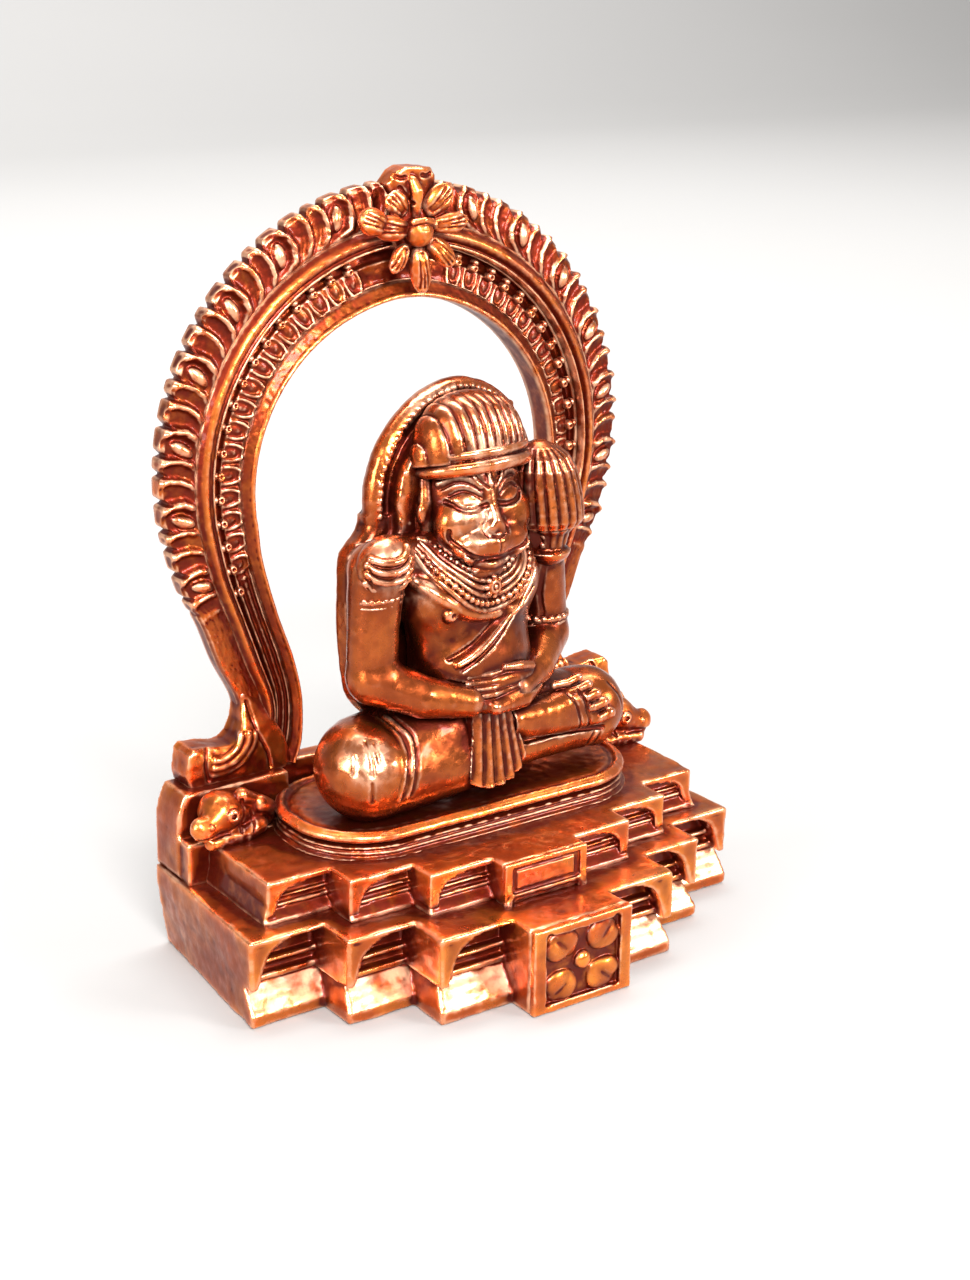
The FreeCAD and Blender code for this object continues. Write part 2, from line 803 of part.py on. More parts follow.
pleats = doc.addObject("Part::Loft", "pleats")
pleats.Sections = [
    pleat_section("pleats_top", -2.6, 44.4, 3.8, -12.6, -11.6, -9.4),
    pleat_section("pleats_bottom", -2.5, 30.2, 6.2, -13.8, -12.4, -11.2),
]
pleats.Solid = True
pleats.Ruled = True
fitted("pleated_sash", pleats, "hands right_leg left_leg right_foot")

head = [
    ball("skull", (0, -3.5, 79.5), (9.6, 6.2, 10.6)),
    ball("muzzle", (0, -6.6, 73.8), (8.2, 4.6, 5.6)),
]
fitted("head", fuse("head_raw", head), "torso back_plate")

cap_ball = ball("cap_ball", (0, -2.6, 86.4), (10.6, 6.8, 10.2))
below = doc.addObject("Part::Box", "cap_below")
below.Length, below.Width, below.Height = 40.0, 40.0, 20.0
bind(below, "Height", SCALE * 20.0)
below.Placement = FIGURE * Placement(Vector(-20.0, -20.0, 66.6), Rotation())
cap_dome = doc.addObject("Part::Cut", "cap_dome")
cap_dome.Base = cap_ball
cap_dome.Tool = below
fitted("cap", cap_dome, "head back_plate")

band = new_body("headband_raw")
band_ring = new_sketch(band, "headband_ring", offset=84.2)
for rx, ry in ((11.2, 7.6), (9.4, 5.9)):
    centre = Vector(0, -2.9, 0)
    band_ring.addGeometry(
        Part.Ellipse(centre + Vector(rx, 0, 0), centre + Vector(0, ry, 0), centre), False
    )
pad(band, band_ring, SCALE * 3.4)
fitted("headband", in_figure(band), "head cap back_plate")

ears = []
for i, sign in enumerate((-1, 1)):
    shell = limb(f"ear_{i}", (sign * 10.1, -2.0, 73.8), (sign * 10.3, -1.8, 79.8), 1.3, 1.7)
    ears.append(fuse(f"ear_{i}_raw", shell))
fitted("ears", compound("ears_raw", ears), "head")
drops = [ball(f"drop_{i}", (s * 10.6, -4.0, 71.8), (1.1, 1.1, 1.7)) for i, s in enumerate((-1, 1))]
fitted("earrings", compound("earrings_raw", drops), "ears torso")

inner = ring("collar_ring", (0, -4.6, 68.6), 8.6, 1.3, 24)
fitted("necklace_inner", inner, "torso back_plate")
outer = ring("garland_ring", (0, -4.8, 67.0), 11.0, 1.2, 30)
fitted("necklace_outer", outer, "torso back_plate necklace_inner")
pendant = ball("pendant_drop", (0, -11.6, 62.6), (1.8, 1.3, 2.0))
fitted("pendant", pendant, "torso necklace_inner")

thread = ring("thread_ring", (0, 0, 0), 13.2, 0.7, 0)
thread.Placement = FIGURE * Placement(Vector(-1.2, -3.4, 57.5), Rotation(Vector(0, 1, 0), -42))
fitted("sacred_thread", thread, "torso back_plate right_arm left_arm necklace_outer")

pads = [
    ball(f"shoulder_{i}", (LEAN + s * 17.2, -4.2, 70.6), (5.3, 3.5, 4.4))
    for i, s in enumerate((-1, 1))
]
fitted(
    "shoulder_ornaments",
    compound("shoulders_raw", pads),
    "right_arm left_arm",
)
bands = [
    ring("armlet_0", (LEAN - 18.3, -2.2, 65.4), 4.3, 0.6, 0),
    ring("armlet_1", (LEAN + 19.0, -2.3, 54.6), 4.2, 0.6, 0),
]
fitted(
    "armlets",
    compound("armlets_raw", bands),
    "right_arm left_arm torso back_plate",
)

# mace at the left shoulder: a ribbed bell head on a collar
MACE_AXIS = (15.4, -5.0)
mace = new_body("mace_head_raw")
profile = new_sketch(mace, "mace_profile", "XZ_Plane")
spline_loop(
    profile,
    [
        [(0, 86.4), (3.0, 85.6), (5.4, 82.6), (6.2, 78.4), (5.8, 73.6)],
        [(5.8, 73.6), (5.0, 72.2)],
        [(5.0, 72.2), (0, 72.2)],
        [(0, 72.2), (0, 86.4)],
    ],
)
spin = mace.newObject("PartDesign::Revolution", "mace_spin")
spin.Profile = profile
spin.ReferenceAxis = (profile, ["V_Axis"])
spin.Angle = 360.0
mace.Placement = FIGURE * Placement(Vector(*MACE_AXIS, 0), Rotation())
fitted("mace_head", mace, "ears left_arm shoulder_ornaments earrings")
collar = doc.addObject("Part::Cylinder", "mace_collar_raw")
collar.Radius = 3.4
collar.Height = 5.8
bind(collar, "Radius", SCALE * 3.4)
collar.Placement = FIGURE * Placement(Vector(*MACE_AXIS, 66.4), Rotation())
fitted("mace_collar", collar, "left_arm torso shoulder_ornaments")

# ---------------------------------------------------------------- check and write

doc.recompute()
for obj in doc.Objects:
    if any(word in obj.State for word in ("Invalid", "Error")):
        raise RuntimeError(f"{obj.Name}: {obj.State}")
for label, obj in nodes.items():
    shape = obj.Shape
    if shape.isNull() or not shape.isValid() or not shape.Solids:
        raise RuntimeError(f"{label} has no valid solid")
    print(f"{label:24s} solids {len(shape.Solids):3d}  volume {shape.Volume:10.1f}")
    shape.exportStep(os.path.join("parts", label + ".step"))
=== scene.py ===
import itertools
import math

import bpy
import numpy as np
from mathutils import Matrix, Vector


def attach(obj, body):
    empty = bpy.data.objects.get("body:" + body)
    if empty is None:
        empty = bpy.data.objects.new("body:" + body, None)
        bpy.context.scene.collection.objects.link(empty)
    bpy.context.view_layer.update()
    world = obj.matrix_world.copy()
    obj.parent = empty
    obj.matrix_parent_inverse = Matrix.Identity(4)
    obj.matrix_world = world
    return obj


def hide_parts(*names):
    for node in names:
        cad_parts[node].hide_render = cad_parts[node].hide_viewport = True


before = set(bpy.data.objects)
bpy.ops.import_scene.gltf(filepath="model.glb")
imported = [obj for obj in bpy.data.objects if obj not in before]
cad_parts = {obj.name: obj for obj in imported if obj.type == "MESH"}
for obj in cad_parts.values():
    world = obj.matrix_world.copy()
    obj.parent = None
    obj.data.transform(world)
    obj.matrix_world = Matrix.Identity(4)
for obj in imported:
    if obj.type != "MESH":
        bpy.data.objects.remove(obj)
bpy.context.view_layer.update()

# The looks of a small cast copper shrine figure. Every piece is sculpted as a block of signed
# distances (or, for the arch, as a relief on a curved strip), in millimetres, and then meshed.
# The front faces -Y, +Z is up, and the origin is under the middle of the pedestal.

MM = 0.001
FAR = 6.0
CORNERS = tuple(itertools.product((0, 1), repeat=3))

# ------------------------------------------------------------------------------ sculpting kit


def merge(a, b, k=0.0):
    """Union of two distance arrays, with a fillet of size k."""
    if k <= 0:
        return np.minimum(a, b)
    h = np.maximum(k - np.abs(a - b), 0) / k
    return np.minimum(a, b) - h * h * k * 0.25


def both(a, b, k=0.0):
    """Intersection of two distance arrays, with a fillet of size k."""
    return -merge(-a, -b, k)


def smooth(e0, e1, v):
    t = np.clip((v - e0) / (e1 - e0), 0, 1)
    return t * t * (3 - 2 * t)


def rotation(axis, degrees):
    return np.array(Matrix.Rotation(math.radians(degrees), 3, axis))


def egg(centre, radii, turn=None):
    """Ellipsoid, turned by a rotation matrix; a shape is its distance function and its two corners."""
    c = np.array(centre, float)
    r = np.array(radii, float)
    reach = r if turn is None else np.full(3, r.max())

    def f(x, y, z):
        px, py, pz = x - c[0], y - c[1], z - c[2]
        if turn is not None:
            px, py, pz = (px * turn[0, k] + py * turn[1, k] + pz * turn[2, k] for k in range(3))
        k = np.sqrt((px / r[0]) ** 2 + (py / r[1]) ** 2 + (pz / r[2]) ** 2)
        g = np.sqrt((px / r[0] ** 2) ** 2 + (py / r[1] ** 2) ** 2 + (pz / r[2] ** 2) ** 2)
        return k * (k - 1) / (g + 1e-6)

    return f, c - reach, c + reach


def tube(points, radii):
    """Round rod through the points; radii is one number or one per point."""
    p = np.array(points, float)
    r = np.full(len(p), radii, float) if np.isscalar(radii) else np.array(radii, float)

    def f(x, y, z):
        best = None
        for a, b, ra, rb in zip(p[:-1], p[1:], r[:-1], r[1:]):
            d = b - a
            dd = max(float(d @ d), 1e-9)
            px, py, pz = x - a[0], y - a[1], z - a[2]
            t = np.clip((px * d[0] + py * d[1] + pz * d[2]) / dd, 0, 1)
            q = np.sqrt((px - t * d[0]) ** 2 + (py - t * d[1]) ** 2 + (pz - t * d[2]) ** 2)
            q = q - (ra + (rb - ra) * t)
            best = q if best is None else np.minimum(best, q)
        return best

    m = r.max()
    return f, p.min(0) - m, p.max(0) + m


def brick(lo, hi, rounding=0.2):
    """Box between two corners, with rounded edges."""
    lo, hi = np.array(lo, float), np.array(hi, float)
    c, h = (lo + hi) / 2, (hi - lo) / 2 - rounding

    def f(x, y, z):
        qx, qy, qz = (np.abs(v - middle) - half for v, middle, half in zip((x, y, z), c, h))
        out = np.sqrt(np.maximum(qx, 0) ** 2 + np.maximum(qy, 0) ** 2 + np.maximum(qz, 0) ** 2)
        return out + np.minimum(np.maximum(np.maximum(qx, qy), qz), 0) - rounding

    return f, lo, hi


def outline(points):
    """Signed distance in a plane to a closed polygon, as a function of (u, v)."""
    p = np.array(points, float)

    def f(u, v):
        best = np.full(np.broadcast(u, v).shape, 1e9)
        inside = np.zeros(best.shape, bool)
        for a, b in zip(p, np.roll(p, -1, axis=0)):
            d = b - a
            t = np.clip(((u - a[0]) * d[0] + (v - a[1]) * d[1]) / max(d @ d, 1e-9), 0, 1)
            best = np.minimum(best, (u - a[0] - t * d[0]) ** 2 + (v - a[1] - t * d[1]) ** 2)
            if a[1] != b[1]:
                cross = (a[1] > v) != (b[1] > v)
                inside ^= cross & (u < (b[0] - a[0]) * (v - a[1]) / (b[1] - a[1]) + a[0])
        best = np.sqrt(best)
        return np.where(inside, -best, best)

    return f


def curve(points, spacing=0.7, closed=False):
    """Catmull-Rom curve through the points, resampled."""
    p = np.array(points, float)
    if closed:
        p = np.vstack([p[-1], p, p[:2]])
    else:
        p = np.vstack([2 * p[0] - p[1], p, 2 * p[-1] - p[-2]])
    out = []
    for i in range(1, len(p) - 2):
        n = max(2, int(np.linalg.norm(p[i + 1] - p[i]) / spacing) + 1)
        t = np.linspace(0, 1, n, endpoint=False)[:, None]
        a, b, c, d = p[i - 1], p[i], p[i + 1], p[i + 2]
        bend = (2 * a - 5 * b + 4 * c - d) * t**2 + (3 * b - a - 3 * c + d) * t**3
        out.append(0.5 * (2 * b + (c - a) * t + bend))
    out.append(p[-2][None])
    return np.vstack(out)


def lumps(shape, step, spacing, seed):
    """Soft random unevenness, -1 to 1, over a block of the given shape."""
    rng = np.random.default_rng(seed)
    coarse = [max(3, int(n * step / spacing) + 3) for n in shape]
    v = rng.uniform(-1, 1, coarse).astype(np.float32)
    for axis, n in enumerate(shape):
        at = np.arange(n) * step / spacing
        i = at.astype(int)
        t = smooth(0, 1, (at - i).astype(np.float32))
        t = t.reshape([n if k == axis else 1 for k in range(3)])
        v = np.take(v, i, axis=axis) * (1 - t) + np.take(v, i + 1, axis=axis) * t
    return v


class Field:
    """A block of signed distances on a regular grid, in millimetres."""

    def __init__(self, lo, hi, step):
        self.lo = np.array(lo, float)
        self.step = step
        self.size = np.ceil((np.array(hi, float) - self.lo) / step).astype(int) + 1
        self.f = np.full(self.size, FAR, np.float32)

    def window(self, lo=None, hi=None):
        lo = self.lo if lo is None else lo
        hi = self.lo + self.size * self.step if hi is None else hi
        a = np.clip(np.floor((lo - self.lo) / self.step).astype(int) - 1, 0, self.size)
        b = np.clip(np.ceil((hi - self.lo) / self.step).astype(int) + 2, 0, self.size)
        x, y, z = ((self.lo[k] + self.step * np.arange(a[k], b[k])).astype(np.float32) for k in range(3))
        cut = tuple(slice(i, j) for i, j in zip(a, b))
        return cut, x[:, None, None], y[None, :, None], z[None, None, :]

    def _join(self, shape, blend, how):
        f, lo, hi = shape
        pad = blend + 1.5 * self.step
        cut, x, y, z = self.window(lo - pad, hi + pad)
        if 0 in self.f[cut].shape:
            return
        self.f[cut] = how(self.f[cut], f(x, y, z).astype(np.float32), blend)

    def add(self, shape, blend=0.0):
        self._join(shape, blend, merge)

    def cut(self, shape, blend=0.0):
        self._join(shape, blend, lambda a, b, k: both(a, -b, k))

    def build(self, rows, side=1, middle=0.0):
        """Adds ellipsoids (one point, three radii) and rods (more points, one radius each).

        Each row is points, radii and fillet. With side -1 they are mirrored about x = middle."""
        for points, radii, blend in rows:
            points = [(middle + side * x, y, z) for x, y, z in points]
            self.add(egg(points[0], radii) if len(points) == 1 else tube(points, radii), blend)

    def put(self, f, blend=0.0, how=merge):
        """Union with a distance function that covers the whole block."""
        _, x, y, z = self.window()
        self.f = how(self.f, f(x, y, z).astype(np.float32), blend)

    def trim(self, f, blend=0.0):
        """Keeps only what is inside a distance function that covers the whole block."""
        self.put(f, blend, both)

    def weather(self, amount, spacing, seed):
        """Makes the surface uneven by up to the amount, in soft lumps of the given spacing."""
        self.f = self.f + amount * lumps(self.f.shape, self.step, spacing, seed)
        return self

    def skin(self, x, z):
        """The y of the front surface behind the point (x, z), or None."""
        i, k = (x - self.lo[0]) / self.step, (z - self.lo[2]) / self.step
        i0, k0 = int(i), int(k)
        if i0 < 0 or k0 < 0 or i0 >= self.size[0] - 1 or k0 >= self.size[2] - 1:
            return None
        a, b = i - i0, k - k0
        f = self.f
        column = (f[i0, :, k0] * (1 - a) + f[i0 + 1, :, k0] * a) * (1 - b) + (
            f[i0, :, k0 + 1] * (1 - a) + f[i0 + 1, :, k0 + 1] * a
        ) * b
        inside = column < 0
        j = int(np.argmax(inside))
        if not inside.any() or j == 0:
            return None
        return self.lo[1] + self.step * (j - 1 + column[j - 1] / (column[j - 1] - column[j]))

    def drape(self, points, lift=0.0, spacing=0.6):
        """A line of (x, z) points laid on the front surface."""
        out = []
        for x, z in curve(points, spacing):
            y = self.skin(x, z)
            if y is not None:
                out.append((x, y - lift, z))
        return out

    def groove(self, points, radius, lift=0.0, blend=0.15):
        self.cut(tube(self.drape(points, lift), radius), blend)

    def grooves(self, rows, lift=0.0, blend=0.15):
        for points, radius in rows:
            self.groove(points, radius, lift, blend)

    def ridge(self, points, radius, lift=0.0, blend=0.3):
        self.add(tube(self.drape(points, lift), radius), blend)

    def stud(self, x, z, radius, lift=0.0, blend=0.2):
        y = self.skin(x, z)
        if y is not None:
            self.add(egg((x, y - lift, z), (radius,) * 3), blend)

    def at(self, p, values=None):
        """Trilinear samples at the points p, of the distances or of other values on the grid."""
        values = self.f if values is None else values
        q = (p - self.lo) / self.step
        i = np.clip(q.astype(int), 0, self.size - 2)
        t = np.clip(q - i, 0, 1)
        out = 0
        for corner in CORNERS:
            wx, wy, wz = (t[:, k] if corner[k] else 1 - t[:, k] for k in range(3))
            out = out + wx * wy * wz * values[tuple((i + corner).T)]
        return out

    def mesh(self):
        """Surface net: vertices in millimetres, and quads."""
        f = np.pad(self.f, 1, constant_values=FAR)
        solid = (f < 0).astype(np.int8)
        n = solid.shape
        total = np.zeros([k - 1 for k in n], np.int8)
        for corner in CORNERS:
            total += solid[tuple(slice(d, size - 1 + d) for d, size in zip(corner, n))]
        live = (total > 0) & (total < 8)
        cells = np.argwhere(live)
        index = np.full(live.shape, -1, np.int64)
        index[live] = np.arange(len(cells))
        place = np.zeros((len(cells), 3))
        count = np.zeros(len(cells))
        for axis in range(3):
            others = [k for k in range(3) if k != axis]
            for da, db in itertools.product((0, 1), repeat=2):
                a = cells.copy()
                a[:, others[0]] += da
                a[:, others[1]] += db
                b = a.copy()
                b[:, axis] += 1
                fa, fb = f[tuple(a.T)], f[tuple(b.T)]
                hit = (fa < 0) != (fb < 0)
                point = a[hit].astype(float)
                point[:, axis] += fa[hit] / (fa[hit] - fb[hit])
                place[hit] += point
                count[hit] += 1
        place /= count[:, None]
        quads = []
        for axis in range(3):
            o1, o2 = (axis + 1) % 3, (axis + 2) % 3
            size = n[axis]
            s0, s1 = (solid.take(range(k, size - 1 + k), axis) for k in (0, 1))
            for inward in (True, False):
                e = np.argwhere((s0 < s1) if inward else (s0 > s1))
                ring = []
                for d1, d2 in ((-1, -1), (0, -1), (0, 0), (-1, 0)):
                    c = e.copy()
                    c[:, o1] += d1
                    c[:, o2] += d2
                    ring.append(index[tuple(c.T)])
                ring = np.stack(ring, 1)
                quads.append(ring[:, ::-1] if inward else ring)
        return self.lo + (place - 1) * self.step, np.vstack(quads)


# ------------------------------------------------------------------------- pieces and patina

# the figure's own frame stands here on the plinth, turned by this much
FIGURE_AT = np.array((0.7, 9.0, 0.0))
FIGURE_TURN = rotation("Z", 7.0)

# each piece is its CAD node, its slot, its vertices in millimetres and its quads
pieces = []


def on_plinth(points):
    """From the figure's own frame to its place on the plinth."""
    return points @ FIGURE_TURN.T + FIGURE_AT


class Space(Field):
    """How much metal is where, 0 to 1, on one coarse grid, for the dark patina and the painted shade in the
    hollows.
    """

    def __init__(self, lo, hi, step):
        super().__init__(lo, hi, step)
        self.f[:] = 0

    def span(self, lo, hi):
        a = np.clip(np.floor((lo - self.lo) / self.step).astype(int), 0, self.size)
        b = np.clip(np.ceil((hi - self.lo) / self.step).astype(int) + 1, 0, self.size)
        return tuple(slice(i, j) for i, j in zip(a, b))

    def take(self, field, posed):
        hi = field.lo + (field.size - 1) * field.step
        corners = np.array([[(field.lo, hi)[(c >> k) & 1][k] for k in range(3)] for c in range(8)])
        if posed:
            corners = on_plinth(corners)
        cut = self.span(corners.min(0), corners.max(0))
        axes = [self.lo[k] + self.step * np.arange(s.start, s.stop) for k, s in enumerate(cut)]
        grid = np.stack(np.meshgrid(*axes, indexing="ij"), -1).reshape(-1, 3)
        local = (grid - FIGURE_AT) @ FIGURE_TURN if posed else grid
        inside = ((local >= field.lo) & (local <= hi)).all(1)
        value = np.zeros(len(grid), np.float32)
        value[inside] = np.clip(0.5 - field.at(local[inside]) / self.step, 0, 1)
        block = self.f[cut]
        self.f[cut] = np.maximum(block, value.reshape(block.shape))

    def relief(self, points):
        """Fills the columns from each point's y to the rear."""
        i = np.rint((points[:, 0] - self.lo[0]) / self.step).astype(int)
        k = np.rint((points[:, 2] - self.lo[2]) / self.step).astype(int)
        front = np.full((self.size[0], self.size[2]), 1e3)
        np.minimum.at(front, (i, k), points[:, 1])
        y = self.lo[1] + self.step * np.arange(self.size[1])
        value = np.clip(0.5 + (y[None, :, None] - front[:, None, :]) / self.step, 0, 1)
        value *= np.clip(0.5 + (REAR - y[None, :, None]) / self.step, 0, 1)
        self.f = np.maximum(self.f, value.astype(np.float32))

    def blurred(self, sigma):
        """Three box blurs make a soft bell of the given width, in millimetres."""
        r = max(1, int(round(sigma / self.step)))
        v = self.f
        for _ in range(3):
            for axis in range(3):
                pad = [(0, 0)] * 3
                pad[axis] = (r + 1, r)
                c = np.cumsum(np.pad(v, pad, mode="edge"), axis=axis, dtype=np.float64)
                n = v.shape[axis]
                hi = np.take(c, np.arange(2 * r + 1, 2 * r + 1 + n), axis=axis)
                lo = np.take(c, np.arange(0, n), axis=axis)
                v = ((hi - lo) / (2 * r + 1)).astype(np.float32)
        return v


space = Space((-56, -36, -3), (56, 34, 136), 0.6)


def piece(node, slot, field, *unevenness):
    """Weathers and meshes a field, and keeps it as the looks of a CAD node."""
    for lump in unevenness:
        field.weather(*lump)
    posed = slot == "figure_metal"
    verts, quads = field.mesh()
    if posed:
        verts = on_plinth(verts)
    space.take(field, posed)
    pieces.append((node, slot, verts, quads))


def normals_of(verts, quads):
    a, b, c, d = (verts[quads[:, k]] for k in range(4))
    n = np.cross(c - a, d - b)
    out = np.zeros_like(verts)
    for k in range(4):
        for axis in range(3):
            out[:, axis] += np.bincount(quads[:, k], n[:, axis], len(verts))
    return out / (np.linalg.norm(out, axis=1, keepdims=True) + 1e-12)


def spread(values, quads, weight):
    """Mean over the neighbours along the quads' edges."""
    out = np.zeros_like(values)
    for k in range(4):
        a, b = quads[:, k], quads[:, (k + 1) % 4]
        out += np.bincount(a, values[b], len(values)) + np.bincount(b, values[a], len(values))
    return out / weight


# painted highlights: pale spots on the figure's high points where the light strikes them; place in its own
# frame, size and strength
PAINTED_HIGHLIGHT_SPOTS = (
    ((-5.6, -9.8, 76.6), 3.0, 0.9),
    ((-26.6, -7.4, 39.4), 3.6, 0.6),
    ((-19.6, -6.6, 71.4), 4.4, 0.35),
    ((-3.0, -12.0, 87.4), 4.6, 0.35),
    ((-6.4, 1.0, 97.0), 4.6, 0.5),
    ((-13.6, -7.0, 66.0), 2.6, 0.4),
)


# how the colour of wear, painted highlights and painted shade is measured, in millimetres but for the two
# strengths
WEAR_AND_HIGHLIGHT_GAIN = 3.2
NEAR_BLUR, WIDE_BLUR = 0.6, 2.4
NEAR_PROBE, WIDE_PROBE = 0.5, 0.9
SLOPE_HIGHLIGHT = 0.16
SLOPE_FROM, SLOPE_TO = (1.9, 2.7), (7.0, 6.0)


def wear_and_painted_light_of(node, verts, quads, near, wide):
    """Colour of every vertex: how much it stands out, with painted highlights added on set spots and front
    slopes, and how much metal is near and around it, for the hollow patina and painted shade.
    """
    normal = normals_of(verts, quads)
    weight = np.zeros(len(verts))
    for k in range(4):
        a, b = quads[:, k], quads[:, (k + 1) % 4]
        weight += np.bincount(a, minlength=len(verts)) + np.bincount(b, minlength=len(verts))
    weight = np.maximum(weight, 1)
    mean = np.stack([spread(verts[:, k], quads, weight) for k in range(3)], 1)
    edge = np.linalg.norm(verts[quads[:, 0]] - verts[quads[:, 1]], axis=1).mean()
    bend = -((mean - verts) * normal).sum(1) / edge
    for _ in range(2):
        bend = 0.5 * bend + 0.5 * spread(bend, quads, weight)
    # painted highlights: pale spots added where the light strikes the figure's high points
    for spot, size, strength in PAINTED_HIGHLIGHT_SPOTS:
        away = np.linalg.norm(verts - on_plinth(np.array(spot)), axis=1)
        bend = bend + strength / WEAR_AND_HIGHLIGHT_GAIN * np.exp(-((away / size) ** 2))
    # painted highlight on the lower course's slopes that face the front
    if node == "lower_course":
        slope = smooth(*SLOPE_FROM, verts[:, 2]) * smooth(*SLOPE_TO, verts[:, 2])
        bend = bend + SLOPE_HIGHLIGHT * slope * np.clip(-normal[:, 1], 0, 1)
    # the metal near and around each vertex sets the hollow patina and the painted shade
    probe = verts + normal * NEAR_PROBE
    columns = (
        np.clip(0.5 + WEAR_AND_HIGHLIGHT_GAIN * bend, 0, 1),
        space.at(probe, near),
        space.at(probe + normal * (WIDE_PROBE - NEAR_PROBE), wide),
        np.ones(len(verts)),
    )
    return np.stack(columns, 1).astype(np.float32)


def finish_pieces():
    near, wide = space.blurred(NEAR_BLUR), space.blurred(WIDE_BLUR)
    for node, slot, verts, quads in pieces:
        mesh = bpy.data.meshes.new(node + "_form")
        mesh.vertices.add(len(verts))
        mesh.vertices.foreach_set("co", (verts * MM).astype(np.float32).ravel())
        mesh.loops.add(4 * len(quads))
        mesh.loops.foreach_set("vertex_index", quads.astype(np.int32).ravel())
        mesh.polygons.add(len(quads))
        mesh.polygons.foreach_set("loop_start", np.arange(0, 4 * len(quads), 4, dtype=np.int32))
        mesh.update(calc_edges=True)
        mesh.validate()
        mesh.shade_smooth()
        # per-vertex colour: rubbed edges with painted highlights, and the metal near and around, for the
        # hollow patina and the painted shade
        wear_and_painted_light = mesh.attributes.new("wear_and_painted_light", "FLOAT_COLOR", "POINT")
        wear_and_painted_light.data.foreach_set("color", wear_and_painted_light_of(node, verts, quads, near, wide).ravel())
        obj = bpy.data.objects.new(node + "_form", mesh)
        bpy.context.scene.collection.objects.link(obj)
        obj.data.materials.append(MATERIALS[slot])
        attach(obj, "root")
        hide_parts(node)


# --------------------------------------------------------------------------------- pedestal

# y of the flat back of the whole object
REAR = 28.9

# the two courses: half widths and front faces of their facets, outermost first, and their tops
LOW_HALF = (50.0, 36.5, 23.9, 10.0)
LOW_FRONT = (6.9, 14.6, 22.7, 27.7)
UPP_HALF = (44.3, 32.7, 20.7, 8.4)
UPP_FRONT = (2.8, 9.3, 14.5, 17.6)
LOW_TOP = 15.4
UPP_TOP = 22.8


def table(z, *pairs):
    heights, values = zip(*sorted(pairs))
    return np.interp(z, heights, values)


def side_taper(y, z):
    """The rough ends of the base draw in toward the rear, and more so at the ground."""
    t = np.clip((y + 6.9) / 35.8, 0, 1)
    return 1.4 * t + 1.7 * t * np.clip(1 - z / 12, 0, 1)


def low_inset(z):
    """How far each step of the front lies behind its foot, with faint ribs on the slope."""
    ribs = 0.03 * np.sin(z * 2 * math.pi / 1.35) * smooth(2.2, 2.9, z) * smooth(6.9, 6.3, z)
    return ribs + table(
        z, (0, 0.1), (0.3, 0), (2.1, -0.1), (2.4, 0.1), (6.7, 3.0), (7.0, 3.1), (7.2, 2.1), (8.0, 2.0),
        (8.2, 3.4), (9.5, 3.5), (9.7, 2.5), (10.4, 2.4), (10.7, 3.9), (13.9, 4.0), (14.3, 1.0), (14.5, 0.0),
    )


def low_bracket(z):
    """How wide the corner of a niche is."""
    return table(
        z, (6.6, 1.5), (8, 1.9), (10, 2.5), (11.5, 3.1), (12.6, 3.8), (13.4, 4.8), (14.0, 6.2), (14.5, 8.0)
    )


def upp_inset(z):
    return table(
        z, (15.2, -0.3), (15.9, -0.2), (16.4, 0.2), (17.5, 1.3), (17.7, 1.3), (17.8, 0.8), (18.3, 0.8),
        (18.4, 1.5), (19.2, 1.5), (19.3, 0.9), (19.8, 0.9), (19.9, 1.7), (21.4, 1.7), (21.6, 0.1),
        (22.8, 0.0),
    )


def upp_bracket(z):
    return table(z, (15.2, 1.6), (17, 1.8), (19, 2.1), (20.2, 2.9), (21.0, 4.2), (21.6, 7.5))


def upp_flare(y, z):
    """The upper course spreads where it stands on the lower one."""
    return -0.9 * np.clip((18.5 - z) / 3.1, 0, 1)


def course(halves, fronts, inset, bracket, taper, niche, rear):
    """One stepped course: facets one in front of the other, each with a niche and a corner bracket."""

    def f(x, y, z):
        ax = np.abs(x)
        whole = None
        for i, (half, front) in enumerate(zip(halves, fronts)):
            middle = i == len(halves) - 1
            side = taper(y, z) if i == 0 else 0.0
            inward = 0.0 if middle else inset(z)
            flank = 0.0 if (middle or i == 0) else 0.4 * inset(z)
            body = np.maximum(ax - half + side + flank, -(y + front) + inward)
            if not middle:
                corner = np.maximum(ax - half + side, half - side - bracket(z) - ax)
                corner = np.maximum(corner, -(y + front) + 0.12)
                corner = np.maximum(np.maximum(corner, niche[0] - z), z - niche[1])
                body = np.minimum(body, corner)
            whole = body if whole is None else np.minimum(whole, body)
        return np.maximum(whole, y - rear)

    return f


low = Field((-50.9, -28.9, -0.8), (50.9, 29.7, 16.2), 0.4)
low.f[:] = -FAR
low.trim(course(LOW_HALF, LOW_FRONT, low_inset, low_bracket, side_taper, (6.6, 14.6), REAR))
low.trim(lambda x, y, z: np.maximum(z - LOW_TOP, -z), 0.5)
low.weather(0.09, 1.5, 11).weather(0.16, 5.0, 12)
low.trim(lambda x, y, z: 0.02 - z)
piece("lower_course", "pedestal_metal", low)

upp = Field((-45.6, -18.9, 14.6), (45.6, 18.2, 23.8), 0.33)
upp.f[:] = -FAR
upp.trim(course(UPP_HALF, UPP_FRONT, upp_inset, upp_bracket, upp_flare, (16.6, 21.8), 17.4))
upp.trim(lambda x, y, z: np.maximum(z - UPP_TOP, 15.2 - z), 0.4)
piece("upper_course", "pedestal_metal", upp, (0.07, 1.4, 21), (0.12, 4.5, 22))


def rear_slab(x, y, z):
    ends = np.abs(x) - 48.6 + side_taper(y, z) * 0.4 + 1.6 * np.clip((z - 24) / 7, 0, 1) ** 2
    return np.maximum(
        np.maximum(ends, y - REAR),
        np.maximum(17.2 - y, np.maximum(z - UPP_TOP, 15.2 - z)),
    )


